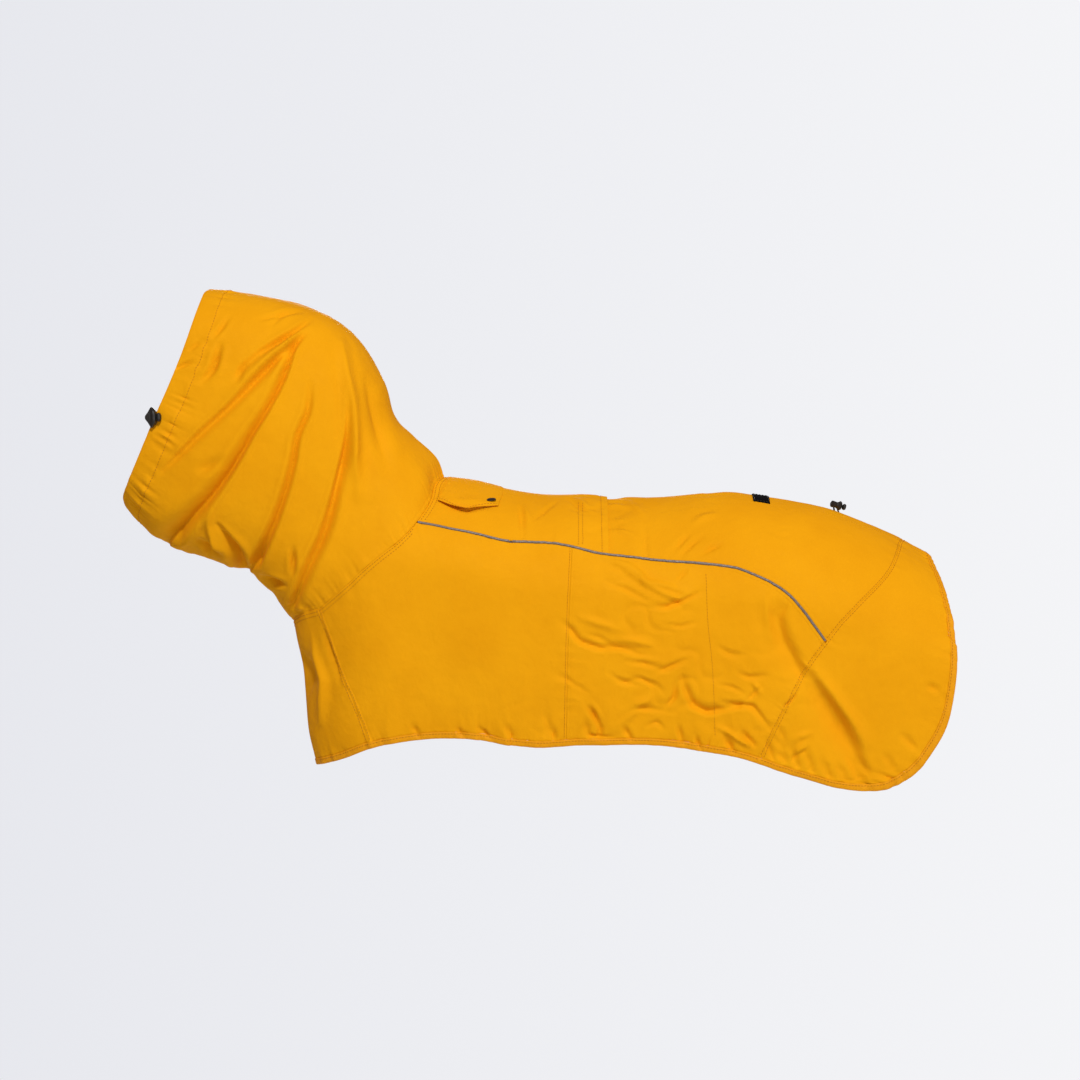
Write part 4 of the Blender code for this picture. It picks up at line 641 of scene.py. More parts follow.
def chest_surface(around, z):
    """The same surface near the centre front, for arrays of the length round it and height."""
    angle = np.minimum(np.abs(around) / FRONT_QUARTER, 1) * math.pi / 2
    x = front_line(z) + FRONT_ROUND * (1 - np.cos(angle))
    side = wrap(x, girth_at(x, z))[0]
    return np.stack([x, -np.sign(around) * side * np.sin(angle), z + 0 * x], axis=-1)


def on_body(points):
    """Seam points as x and girth."""
    x, z = np.asarray(points, float).T
    return np.stack([x, girth_at(x, z)], axis=1)


def on_chest(points):
    """Seam points as length round the chest and height."""
    x, z = np.asarray(points, float).T
    return np.stack([front_angle(x, z) / (math.pi / 2) * FRONT_QUARTER, z], axis=1)


def side_seams():
    """Every seam line of the left side, in the body's x and girth."""
    half = on_body((HEM_LEAD,) + SIDE_HEM + TAIL_HEM)
    hem = Line(np.vstack([half, [[TAIL_HEM_TOP_X, 0.0]], half[::-1] * LEFT_TO_RIGHT]))
    return {
        "collar": Line(np.vstack([[COLLAR_TOP_X, 0.0], on_body(COLLAR_SEAM)])),
        "piping": Line(on_body(PIPING_LINE)),
        "chest": Line(on_body(CHEST_SEAM)),
        "mid": Line(on_body(MID_SEAM)),
        "rear": Line(np.vstack([[REAR_SEAM_TOP_X, 0.0], on_body(REAR_SEAM)])),
        "hem": hem,
        "hem_inner": hem.beside(-BINDING_WIDTH),
    }


def chest_seams():
    """Seam lines round the chest, in its own measures."""
    half = on_chest((HEM_LEAD,) + SIDE_HEM[:2])
    hem = Line(np.vstack([half[::-1] * ROUND_THE_FRONT, [[0.0, CHEST_HEM_Z]], half]))
    x, girth = SIDE["chest"].between(0, SIDE["chest"].length, SEAM_SAMPLES).T
    return {
        "throat": Line(np.vstack([[[0.0, THROAT_Z]], on_chest(COLLAR_SEAM[-1:])])),
        "chest": Line(on_chest(body_surface(x, girth)[:, [0, 2]])),
        "hem": hem,
        "hem_inner": hem.beside(BINDING_WIDTH),
    }


SIDE = side_seams()
CHEST = chest_seams()


def collar_ring(turn):
    """Points of the collar seam, from the centre back (0) to the throat (1)."""
    back, throat = SIDE["collar"], CHEST["throat"]
    whole = back.length + throat.length
    distance = np.abs(turn) * whole
    place = back.at(np.minimum(distance, back.length))
    on_side = body_surface(place[..., 0], place[..., 1])
    place = throat.at(np.clip(whole - distance, 0, throat.length))
    on_front = chest_surface(place[..., 0], place[..., 1])
    points = np.where((distance <= back.length)[..., None], on_side, on_front)
    points[..., 1] = -np.sign(turn) * np.abs(points[..., 1])
    return points


def hood_tube(ring, turn):
    """Points of the tube through the rings."""
    table = smooth(np.arange(len(HOOD_RINGS)), HOOD_RINGS, ring)
    top_x, top_z, bottom_x, bottom_z, half_width, bow = np.moveaxis(table, -1, 0)
    angle = np.abs(turn) * math.pi
    share = (1 - np.cos(angle)) / 2
    bulge = bow * np.sin(angle) / np.hypot(bottom_x - top_x, bottom_z - top_z)
    x = top_x + (bottom_x - top_x) * share + (top_z - bottom_z) * bulge
    z = top_z + (bottom_z - top_z) * share - (top_x - bottom_x) * bulge
    y = -np.sign(turn) * half_width * np.sin(angle) * (1 + HOOD_FULLNESS * np.cos(angle) ** 2)
    return np.stack([x, y, z], axis=-1)


def hood_surface(ring, turn):
    """Points of the hood and neck; its last rings bend until they meet the collar seam."""
    points = hood_tube(ring, turn)
    bent = ring > COLLAR_RING - COLLAR_BLEND
    last_ring = np.full(np.shape(turn[bent]), float(COLLAR_RING))
    bend = collar_ring(turn[bent]) - hood_tube(last_ring, turn[bent])
    share = soft_step((ring[bent] - (COLLAR_RING - COLLAR_BLEND)) / COLLAR_BLEND)
    points[bent] += bend * share[..., None]
    return points


Surface = namedtuple("Surface", "point outward creases part")
BODY = Surface(body_surface, -1, BODY_CREASES, "body")
FRONT = Surface(chest_surface, 1, BODY_CREASES, "body")
HOOD = Surface(hood_surface, -1, HOOD_CREASES, "hood")
COLLAR_POINTS = collar_ring(np.linspace(-1, 1, HEM_SAMPLES))


def outward_normals(surface, grid):
    """Unit normals of the bare surface on a grid of its two measures."""
    first, second = grid[..., 0], grid[..., 1]
    step, turn = (RING_STEP, TURN_STEP) if surface is HOOD else (NORMAL_STEP, NORMAL_STEP)
    along = surface.point(first + step, second) - surface.point(first - step, second)
    across = surface.point(first, second + turn) - surface.point(first, second - turn)
    return unit(surface.outward * np.cross(along, across))


# ---- creases, puckers and ripples

def side_view(points):
    """x and z where the line of sight to each point, from its own side, meets the centre plane."""
    grow = VIEW_DISTANCE / (VIEW_DISTANCE - np.abs(points[..., 1]))
    return points[..., 0] * grow, (points[..., 2] - VIEW_HEIGHT) * grow + VIEW_HEIGHT


def crease_height(x, z, crease, part):
    """Height that one crease adds over the side view; on the body it bends at sharp corners."""
    line = np.array(crease.points, float)
    margin = CREASE_REACH * line[:, 3].max()
    low, high = line[:, :2].min(axis=0) - margin, line[:, :2].max(axis=0) + margin
    near = (x > low[0]) & (x < high[0]) & (z > low[1]) & (z < high[1])
    height = np.zeros(x.shape)
    if not near.any():
        return height
    knots = run_along(line[:, :2])
    places = np.linspace(0, knots[-1], CREASE_STEPS * len(line))
    curve = CREASE_CURVE[part]
    fine = curve * smooth(knots, line, places) + (1 - curve) * sample(knots, line, places)
    here = np.stack([x[near], z[near]], axis=-1)
    nearest = np.full(len(here), np.inf)
    side = np.zeros(len(here))
    depth_width = np.zeros((len(here), 2))
    for start, step in zip(fine, np.diff(fine, axis=0)):
        along = step[:2]
        offset = here - start[:2]
        share = np.clip(offset @ along / (along @ along), 0, 1)[:, None]
        offset -= share * along
        away = np.hypot(offset[:, 0], offset[:, 1])
        closer = away < nearest
        nearest = np.where(closer, away, nearest)
        side = np.where(closer, along[0] * offset[:, 1] - along[1] * offset[:, 0], side)
        depth_width = np.where(closer[:, None], start[2:] + share * step[2:], depth_width)
    depth, width = depth_width.T
    deeper = 1 + (SMALL_GAIN - 1) * np.exp(-(np.abs(line[:, 2]).max() / SMALL_CREASE) ** 2)
    wall = CREASE_WIDTH[part] * width * (1 + crease.lean * np.sign(side))
    reach = nearest / wall
    trough = np.exp(-np.hypot(reach, CREASE_FLOOR[part]) ** CREASE_POWER)
    rim = CREASE_RIM[part] * np.exp(-((reach - CREASE_RIM_PLACE) / CREASE_RIM_WIDTH) ** 2)
    height[near] = CREASE_DEPTH[part] * deeper * depth * (rim - trough)
    return height


def crease_relief(points, surface):
    """Height that the creases add; the right side has similar ones, moved and changed a little."""
    x, z = side_view(points)
    right = points[..., 1] > 0
    wander = layered(points, 1.0, RIGHT_WANDER)
    x = np.where(right, x - RIGHT_SHIFT_X + wander, x)
    z = np.where(right, z - RIGHT_SHIFT_Z - wander, z)
    total = np.zeros(x.shape)
    for share_right, crease in zip(itertools.cycle(RIGHT_SHARES), surface.creases):
        total += np.where(right, share_right, 1.0) * crease_height(x, z, crease, surface.part)
    return total * soft_step(np.abs(points[..., 1]) / CENTRE_FADE)


def softened(relief):
    """Relief averaged a little with its neighbours, so that the grid leaves no teeth in it."""
    for _ in range(2):
        rows = np.concatenate([relief[:1], relief, relief[-1:]])
        relief = (rows[:-2] + 2 * rows[1:-1] + rows[2:]).T / 4
    return relief


def ripple_relief(points):
    """Unevenness of the cloth: slow waves, and patches of finer crumples with sharp valleys."""
    valleys = np.hypot(layered(points, CRUMPLE_SIZE, CRUMPLE_LAYERS), CRUMPLE_ROUND)
    rear = np.exp(-((points[..., 0] - CRUMPLE_X) / CRUMPLE_REACH) ** 2)
    crumpled = patches(points, *CRUMPLE_PATCHES) * (CRUMPLE_LEAST + (1 - CRUMPLE_LEAST) * rear)
    crumples = np.minimum(valleys, CRUMPLE_TOP) - CRUMPLE_TOP / 2
    return layered(points, 1.0, RIPPLES) + CRUMPLE * crumpled * crumples


def pucker_wave(foot, edge):
    """Height of the puckers at their seam, with sharp valleys, and how far each one reaches."""
    valleys = PUCKER_STEEPNESS * np.abs(layered(foot, edge.spacing, PUCKER_VALLEYS))
    wave = layered(foot, edge.spacing, PUCKER_LAYERS) + np.minimum(valleys, 1) - PUCKER_LEVEL
    gathered = PUCKER_LEAST + (1 - PUCKER_LEAST) * patches(foot, *PUCKER_PATCHES)
    reach = edge.reach * (1 + layered(foot, edge.spacing, PUCKER_REACHES))
    return edge.pucker * gathered * wave, reach


def from_border(grid, border):
    """Grid turned so that its first or last row, or first or last column, comes first."""
    return grid.swapaxes(0, border // 2)[::-1 if border % 2 else 1]


def onto_grid(turned, border):
    """The grid of which from_border gave this turned one."""
    return turned[::-1 if border % 2 else 1].swapaxes(0, border // 2)


def edge_relief(points, edges):
    """Seam dips, turnings and puckers beside the four borders of a grid."""
    total = np.zeros(points.shape[:2])
    for border, edge in enumerate(edges):
        rows, change = from_border(points, border), from_border(total, border)
        away = run_along(rows)
        stitched = away - edge.width
        wave, reach = pucker_wave(rows[:1], edge)
        change += edge.turned * soft_step(0.5 - stitched / TURNING_STEP)
        change -= edge.dip * np.exp(-(away / edge.roll) ** 2)
        change -= GROOVE * (edge.turned > 0) * np.exp(-(stitched / GROOVE_WIDTH) ** 2)
        change += wave * np.exp(-np.abs(away - edge.peak) / reach)
    return total


# ---- grids and meshes

CLOTHS = {}     # outer face and normals of every piece of cloth
Cloth = namedtuple("Cloth", "outer normals")


def patch(front, rear, top, bottom):
    """Grid between four border lines: front and rear run down, top and bottom run back."""
    u = np.linspace(0, 1, len(top))[:, None, None]
    v = np.linspace(0, 1, len(front))[None, :, None]
    rows = (1 - v) * top[:, None, :] + v * bottom[:, None, :]
    columns = (1 - u) * front[None, :, :] + u * rear[None, :, :]
    corners = ((1 - u) * (1 - v) * top[0] + u * (1 - v) * top[-1]
               + (1 - u) * v * bottom[0] + u * v * bottom[-1])
    return rows + columns - corners


def both_sides(half):
    """Whole grid from its left half, whose first column is on the centre plane."""
    return np.concatenate([half[:, :0:-1] * LEFT_TO_RIGHT, half], axis=1)


def closer_at_ends(count):
    """Shares from 0 to 1 in steps that are shorter near both ends."""
    steps = np.ones(count)
    ends = min(len(END_STEPS), count // 3)
    steps[:ends] = END_STEPS[:ends]
    steps[count - ends:] = END_STEPS[:ends][::-1]
    return np.concatenate([[0.0], np.cumsum(steps)]) / steps.sum()


def fine_grid(surface, grid, gaps, pitch):
    """The grid drawn in from its borders by the gaps, with steps of about the pitch.

    A gap is a number, or on a first row or column also an array or a function of the border.
    """
    for axis in (0, 1):
        lines = grid.swapaxes(0, axis)
        run = run_along(surface.point(lines[..., 0], lines[..., 1]))
        first, last = gaps[2 * axis:2 * axis + 2]
        starts = first(lines[0]) if callable(first) else np.broadcast_to(first, run.shape[1])
        shares = closer_at_ends(int(run[-1].max() / pitch) + len(END_STEPS))
        columns = [sample(length, line, start + shares * (length[-1] - start - last))
                   for length, line, start in zip(run.T, lines.swapaxes(0, 1), starts)]
        grid = np.stack(columns, axis=1).swapaxes(0, axis)
    return grid


def add_piece(name, corners, faces, materials, node=None, uv=None, inside=None):
    """Piece from corners in millimetres, in place of its node; inside marks its inner faces."""
    mesh = bpy.data.meshes.new(name)
    mesh.from_pydata((np.asarray(corners) * MM).reshape(-1, 3).tolist(), [], faces)
    mesh.shade_smooth()
    mesh.set_sharp_from_angle(angle=math.radians(SHARP_ANGLE))
    for material in materials:
        mesh.materials.append(MATERIALS[material])
    if inside is not None:
        mesh.polygons.foreach_set("material_index", np.asarray(inside, np.int32))
    if uv is not None:
        loops = np.empty(len(mesh.loops), np.int64)
        mesh.loops.foreach_get("vertex_index", loops)
        mesh.uv_layers.new(name="weave").data.foreach_set("uv", (uv[loops] * MM).ravel())
    mesh.update()
    piece = bpy.data.objects.new(name, mesh)
    bpy.context.scene.collection.objects.link(piece)
    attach(piece, "root")
    if node:
        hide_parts(node)


def grid_faces(rows, columns, closed=False):
    """Quads of a grid; a closed one joins its last column to its first."""
    index = np.arange(rows * columns).reshape(rows, columns)
    if closed:
        index = np.concatenate([index, index[:, :1]], axis=1)
    return np.stack([index[:-1, :-1], index[1:, :-1], index[1:, 1:], index[:-1, 1:]],
                    axis=-1).reshape(-1, 4)


def shell(outer, inner):
    """Corners and quads of a closed shell between two grids, and which quads are inside."""
    rows, columns = outer.shape[:2]
    under = rows * columns
    quads = grid_faces(rows, columns)
    index = np.arange(under).reshape(rows, columns)
    border = np.concatenate([index[0], index[1:, -1], index[-1, -2::-1], index[-2:0:-1, 0]])
    after = np.roll(border, -1)
    rim = np.stack([border, after, after + under, border + under], axis=-1)
    faces = np.concatenate([quads, quads[:, ::-1] + under, rim])
    inside = np.zeros(len(faces), np.int32)
    inside[len(quads):2 * len(quads)] = 1
    return np.stack([outer, inner]), faces, inside


def turn_in(outer, inner, border, wall):
    """The two faces with the seam's turning added beyond one border, pointing inwards."""
    outer, inner = from_border(outer, border), from_border(inner, border)
    edge = outer[0]
    back = unit(outer[TURNING_ROW] - edge)
    away = np.linalg.norm(edge[:, None] - COLLAR_POINTS[None], axis=-1).min(axis=1)
    share = soft_step(COLLAR_FADE - away / COLLAR_REACH)[:, None]
    inward = unit(unit(inner[0] - edge) * (1 - share) + unit(COLLAR_CENTRE - edge) * share)
    turned = edge + inward * np.array(TURNED_IN[::-1])[:, None, None]
    return (onto_grid(np.concatenate([turned, outer]), border),
            onto_grid(np.concatenate([turned + back * wall, inner]), border))


def make_cloth(name, surface, grid, edges, gaps=None, lift=0.0, wall=CLOTH,
               materials=("cloth", "cloth_inside")):
    """Shell of cloth on a grid of a surface's measures, with every crease and pucker."""
    grid = fine_grid(surface, grid, gaps or [edge.gap for edge in edges], PITCH[name])
    points = surface.point(grid[..., 0], grid[..., 1])
    normals = outward_normals(surface, grid)
    creases = softened(crease_relief(points, surface))
    if surface is HOOD:
        creases *= soft_step(run_along(points[::-1])[::-1] / COLLAR_CALM)
    rise = creases + ripple_relief(points) + edge_relief(points, edges)
    rise += lift(grid) if callable(lift) else lift
    outer = points + normals * rise[..., None]
    faces = outer, points + normals * (rise - wall)[..., None]
    for border, edge in enumerate(edges):
        if edge.turned and edge.gap:
            faces = turn_in(*faces, border, wall)
    uv = np.stack([run_along(faces[0]), run_along(faces[0].swapaxes(0, 1)).T], axis=-1)
    first = outer[:-1, :-1]
    turned = np.cross(outer[1:, :-1] - first, outer[:-1, 1:] - first)
    if np.sum(turned * normals[:-1, :-1]) > 0:
        corners, quads, inside = shell(*faces)
    else:
        corners, quads, inside = shell(*faces[::-1])
        inside = 1 - inside
    add_piece(f"{name}_cloth", corners, quads.tolist(), materials, name,
              np.concatenate([uv, uv]).reshape(-1, 2), inside)
    CLOTHS[name] = Cloth(outer, normals)


# ---- the cloth pieces

def make_hood_halves():
    """Two halves of the hood and neck, seamed on the centre plane."""
    turns = straight(0, 1, 2 * COARSE_STEPS)
    grid = np.stack(np.meshgrid(straight(0, COLLAR_RING), turns, indexing="ij"), axis=-1)
    gaps = (opening_setback(turns), NECK.gap, CROWN.gap, CROWN.gap)
    for side, way in SIDES:
        make_cloth(f"hood_{side}", HOOD, grid * [1.0, way], (OPENING, NECK, CROWN, CROWN), gaps)


def opening_setback(turns):
    """How far the face opening's edge lies inside the tube's end: round corners, slight sway."""
    edge = hood_surface(turns * 0, turns)
    from_top = run_along(edge)
    setback = OPENING_SWAY * np.exp(-((edge[:, 2] - OPENING_SWAY_Z) / OPENING_SWAY_REACH) ** 2)
    for along, radius in zip((from_top, from_top[-1] - from_top), OPENING_CORNERS):
        beyond = np.maximum(radius - along ** 2 / (2 * OPENING_BEND), 0)
        setback += radius - np.sqrt(radius ** 2 - beyond ** 2)
    return setback


def vent_drop(grid):
    """The rear yoke starts below the front one and comes up to the surface behind the vent."""
    return -VENT_STEP * (1 - soft_step((grid[..., 0] - VENT_X) / VENT_RELEASE))


def across_yoke(x):
    """Line from the ridge down to the piping at x."""
    return straight([x, 0.0], [x, float(smooth(*SIDE["piping"].points.T, x))])


def make_yoke():
    """Back yoke: a front piece that laps over a rear piece at the vent."""
    piping, collar, rear = SIDE["piping"], SIDE["collar"], SIDE["rear"]
    vent, tucked = across_yoke(VENT_X), across_yoke(VENT_X - VENT_OVERLAP)
    neck = collar.between(0, collar.nearest(piping.points[0]))
    haunch = rear.between(0, rear.nearest(piping.points[-1]))
    front_bottom = piping.between(0, piping.nearest(vent[-1]))
    rear_bottom = piping.between(piping.nearest(tucked[-1]), piping.length)
    for name, front, behind, bottom, edges, lift in (
            ("back_yoke_front", neck, vent, front_bottom, (COLLAR, FOLDED), 0.0),
            ("back_yoke_rear", tucked, haunch, rear_bottom, (TUCKED, SEAM), vent_drop)):
        half = patch(front, behind, straight(front[0], behind[0]), bottom)
        make_cloth(name, BODY, both_sides(half), edges + (PIPED, PIPED), lift=lift)


def piping_room(border):
    """Gap along the top of a side panel: room for the piping, and none along the collar."""
    past_collar = soft_step((border[:, 0] - PIPING_LINE[0][0]) / PIPING_ROOM_LENGTH)
    return SEAM_GAP + (PIPING_GAP - SEAM_GAP) * past_collar


def make_side_panels():
    """Front and rear side panels, left and right."""
    chest, piping, collar, mid, rear, hem = [
        SIDE[name] for name in ("chest", "piping", "collar", "mid", "rear", "hem_inner")]
    mid_top, piping_mid = crossing(mid, piping)
    mid_end, hem_mid = crossing(mid, hem)
    chest_end, hem_chest = crossing(chest, hem)
    rear_end, hem_rear = crossing(rear, hem)
    shoulder = COARSE_STEPS // 2
    top = np.vstack([
        collar.between(collar.length, collar.nearest(piping.points[0]), shoulder),
        piping.between(0, piping_mid, COARSE_STEPS - shoulder)[1:]])
    middle = mid.between(mid_top, mid_end)
    haunch = rear.between(rear.nearest(piping.points[-1]), rear_end)
    front_grid = patch(chest.between(0, chest_end), middle, top, hem.between(hem_chest, hem_mid))
    rear_grid = patch(middle, haunch, piping.between(piping_mid, piping.length),
                      hem.between(hem_mid, hem_rear))
    for side, way in SIDES:
        for part, grid, edge in (("front", front_grid, FRONT_SEAM), ("rear", rear_grid, SEAM)):
            make_cloth(f"side_{part}_{side}", BODY, grid * [1.0, way], (edge, SEAM, PIPED, HEM),
                       (edge.gap, SEAM.gap, piping_room, HEM.gap))


def make_chest_panel():
    """Panel round the front, from the throat to the hem between the forelegs."""
    hem = CHEST["hem_inner"]
    seam_end, hem_seam = crossing(CHEST["chest"], hem)
    bottom = hem.between(hem.length / 2, hem_seam)
    bottom[0, 0] = 0.0
    throat = CHEST["throat"].between(0, CHEST["throat"].length)
    half = patch(straight(throat[0], bottom[0]), CHEST["chest"].between(0, seam_end), throat,
                 bottom)
    grid = np.concatenate([half[:0:-1] * ROUND_THE_FRONT, half])
    make_cloth("chest_panel", FRONT, grid, (SEAM, SEAM, COLLAR, HEM))


def make_tail_panel():
    """Panel that wraps the haunches, with a deep curved hem."""
    rear, hem = SIDE["rear"], SIDE["hem_inner"]
    rear_end, hem_rear = crossing(rear, hem)
    lowest = hem.nearest([TAIL_LOW_X, float(girth_at(TAIL_LOW_X, TAIL_LOW_Z))])
    behind = hem.between(hem.length / 2, lowest)
    behind[0, 1] = 0.0
    half = patch(rear.between(0, rear_end), behind, straight([REAR_SEAM_TOP_X, 0.0], behind[0]),
                 hem.between(hem_rear, lowest))
    make_cloth("tail_panel", BODY, both_sides(half), (SEAM, HEM, HEM, HEM))


def make_bindings():
    """Folded tape round the whole hem, in four lengths, each between an inner and a hem line."""
    side, tail, chest = [], [], []
    for edge in ("hem_inner", "hem"):
        hem, front = SIDE[edge], CHEST[edge]
        at_chest, at_rear = [crossing(SIDE[seam], hem)[1] for seam in ("chest", "rear")]
        at_seam = crossing(CHEST["chest"], front)[1]
        side.append((hem, at_chest, at_rear))
        tail.append((hem, at_rear, hem.length - at_rear))
        chest.append((front, at_seam, front.length - at_seam))
    for name, surface, lines, way in (("left", BODY, side, 1.0), ("right", BODY, side, -1.0),
                                      ("tail", BODY, tail, 1.0), ("chest", FRONT, chest, 1.0)):
        make_binding(f"hem_binding_{name}", surface, lines, way)


def make_binding(name, surface, lines, way):
    """One length of tape between two lines, each given with its start and end."""
    count = int(abs(lines[0][2] - lines[0][1]) / BINDING_STEP)
    inner, outer = [line.between(start, end, count) * [1.0, way] for line, start, end in lines]
    share, height = np.array(BINDING_PROFILE).T
    grid = inner[:, None] + (outer - inner)[:, None] * share[None, :, None]
    points = surface.point(grid[..., 0], grid[..., 1])
    normals = outward_normals(surface, grid)
    foot = surface.point(inner[:, 0], inner[:, 1])[:, None]
    rise = crease_relief(points, surface) + ripple_relief(points) + height
    rise += BINDING_PUCKER * pucker_wave(foot, HEM)[0] + layered(foot, 1.0, SCALLOPS) * share
    rings = points + normals * rise[..., None]
    add_loft(name, rings, "binding", "tape")
    CLOTHS[name] = Cloth(rings[:, BINDING_TOP], normals[:, BINDING_TOP])


def add_loft(node, rings, material, suffix="fine"):
    """Capped solid through rings of points, in place of its node."""
    rows, sides = rings.shape[:2]
    faces = grid_faces(rows, sides, closed=True).tolist()
    faces += [list(range(sides))[::-1], [(rows - 1) * sides + side for side in range(sides)]]
    middle, after = rings[rows // 2:rows // 2 + 2]
    normal = np.cross(after[0] - middle[0], middle[1] - middle[0])
    if normal @ (middle[0] - middle.mean(axis=0)) < 0:
        faces = [face[::-1] for face in faces]
    add_piece(f"{node}_{suffix}", rings, faces, [material], node)


def round_rings(centres, up, across, radii, sides):
    """Circles about a row of centres, between two directions square to the row."""
    angles = np.arange(sides)[:, None] * 2 * math.pi / sides
    radii = np.broadcast_to(radii, len(centres))[:, None, None]
    up, across = [np.broadcast_to(way, centres.shape)[:, None, :] for way in (up, across)]
    return centres[:, None, :] + radii * (np.cos(angles) * up + np.sin(angles) * across)


def make_piping():
    """A round bead of reflective tape along each yoke seam."""
    line = SIDE["piping"]
    line = line.between(PIPING_GAP, line.length - PIPING_GAP, PIPING_RINGS)
    for side, way in SIDES:
        place = line * [1.0, way]
        normals = outward_normals(BODY, place)
        points = body_surface(place[:, 0], place[:, 1])
        relief = crease_relief(points, BODY) + ripple_relief(points)
        relief += pucker_wave(points, PIPED)[0]
        centre = points + normals * relief[:, None]
        across = np.cross(unit(np.gradient(centre, axis=0)), normals)
        radii = PIPING_RADIUS * (1 + layered(points, 1.0, BEAD_NOISE))
        rings = round_rings(centre, normals, across, radii, PIPING_SIDES)
        add_loft(f"piping_{side}", rings, "reflective")


# ---- flap, label and fastenings

def make_leash_flap():
    """Flap over the leash slit: it lies on the yoke and gapes along its lower edge."""
    edge = Line(on_body(FLAP_EDGE))
    bottom = edge.between(0, edge.length)
    front, rear = Line(FLAP_FRONT + (tuple(bottom[0]),)), Line(FLAP_REAR + (tuple(bottom[-1]),))
    grid = patch(front.between(0, front.length), rear.between(0, rear.length),
                 straight(FLAP_FRONT[0], FLAP_REAR[0]), bottom)

    def lift(place):
        """Height over the yoke, most where the flap's edge gapes."""
        x, girth = place[..., 0], place[..., 1]
        near_edge = np.clip(girth / np.interp(x, *bottom.T), 0, 1) ** FLAP_LIFT_POWER
        gape = np.exp(-((x - FLAP_LIFT_X) / FLAP_LIFT_REACH) ** 2)
        return FLAP_CLEARANCE + FLAP_PLY + FLAP_LIFT * gape * near_edge

    make_cloth("leash_flap", BODY, grid, (PRESSED, PRESSED, FOLDED, FOLDED), lift=lift,
               wall=FLAP_PLY)


def frame_on_body(x, girth):
    """Point, outward normal and direction towards the tail at a place on the body."""
    place = np.array([[x, girth]])
    normal = outward_normals(BODY, place)[0]
    point = body_surface(place[:, 0], place[:, 1])[0]
    behind = body_surface(place[:, 0] + 1, place[:, 1])[0] - point
    return point, normal, squared(behind, normal)


def squared(way, normal):
    """Unit direction of the part of a way that is square to a normal."""
    return unit(way - normal * way.dot(normal))


def make_snap():
    """Press stud near the end of the flap, a turned cap with a rolled rim."""
    point, normal, along = frame_on_body(SNAP_X, float(girth_at(SNAP_X, SNAP_Z)))
    base = point + normal * (FLAP_CLEARANCE + FLAP_PLY + SNAP_RISE)
    normal = unit(normal + [SNAP_TIP, 0.0, SNAP_LEAN])
    along = squared(along, normal)
    radii, heights = np.array(SNAP_PROFILE).T
    centres = base + heights[:, None] * normal
    rings = round_rings(centres, along, np.cross(normal, along), radii, SNAP_SIDES)
    add_loft("leash_snap", rings, "metal")


def make_label():
    """Bare patch sewn beside the spine."""
    corners = np.meshgrid(straight(*LABEL_X), straight(*LABEL_GIRTH), indexing="ij")
    make_cloth("label_patch", BODY, np.stack(corners, axis=-1), (LABEL_EDGE,) * 4,
               lift=LABEL_CLEARANCE + LABEL_THICKNESS, wall=LABEL_THICKNESS,
               materials=("label", "label"))


def lock_block(name, centre, along, up, size, sections, ribs=0.0):
    """Rounded block whose sections grow and shrink along its length, with ribs to grip."""
    length, width, depth = size
    across = np.cross(up, along)
    table = np.array(sections)
    places = np.linspace(-0.5, 0.5, LOCK_RINGS)
    shares = smooth(table[:, 0], table[:, 1:], places)
    ends = np.sqrt(np.clip((0.5 - np.abs(places)) / LOCK_END, LOCK_END_LEAST, 1))
    angles = (np.arange(LOCK_SIDES) + 0.5) * 2 * math.pi / LOCK_SIDES
    wide, deep = [np.sign(wave) * np.abs(wave) ** LOCK_SQUARENESS
                  for wave in (np.cos(angles), np.sin(angles))]
    half_width = (shares[:, 0] * width / 2 * ends)[:, None]
    half_depth = (shares[:, 1] * depth / 2 * ends)[:, None]
    rib = 0.5 - 0.5 * np.cos(2 * math.pi * wide[None, :] * half_width / RIB_SPACING)
    on_face = soft_step((RIBBED_END - np.abs(places)[:, None]) / RIBBED_END_FADE)
    on_face = on_face * soft_step((np.abs(deep) - RIBBED_FROM) / RIBBED_FADE)
    thinner = half_depth - ribs * rib * on_face
    rings = (centre + along * (places[:, None, None] * length)
             + (half_width * wide)[..., None] * across + (thinner * deep)[..., None] * up)
    add_loft(name, rings, "plastic")


def make_cord_lock(name, plunger_name, centre, along, up):
    """Spring cord lock: a flat kite-shaped body with a plunger that comes out of one corner."""
    reach = LOCK_SIZE[0] / 2 + FASTENER_GAP + PLUNGER_SIZE[0] / 2
    lock_block(name, centre, along, up, LOCK_SIZE, LOCK_SECTIONS, RIB_DEPTH)
    lock_block(plunger_name, centre + along * reach, along, up, PLUNGER_SIZE, PLUNGER_SECTIONS)


def make_hood_locks():
    """A cord lock on each side of the face opening, against the outside of its edge."""
    tilt = math.radians(HOOD_LOCK_TILT)
    rise = LOCK_SIZE[2] / 2 + FASTENER_GAP + HOOD_LOCK_CLEARANCE
    for side, way in SIDES:
        turn = np.array([way * HOOD_LOCK_TURN])
        normal = outward_normals(HOOD, np.stack([turn * 0 + HOOD_LOCK_RING, turn], axis=1))[0]
        edge = hood_surface(turn * 0, turn)[0]
        inside = squared(hood_surface(turn * 0 + 2 * HOOD_LOCK_RING, turn)[0] - edge, normal)
        centre = edge - inside * HOOD_LOCK_OUTSIDE + normal * rise
        up_edge = np.cross(normal, inside) * way
        along = inside * math.cos(tilt) + up_edge * math.sin(tilt)
        make_cord_lock(f"hood_lock_{side}", f"hood_plunger_{side}", centre, along, normal)


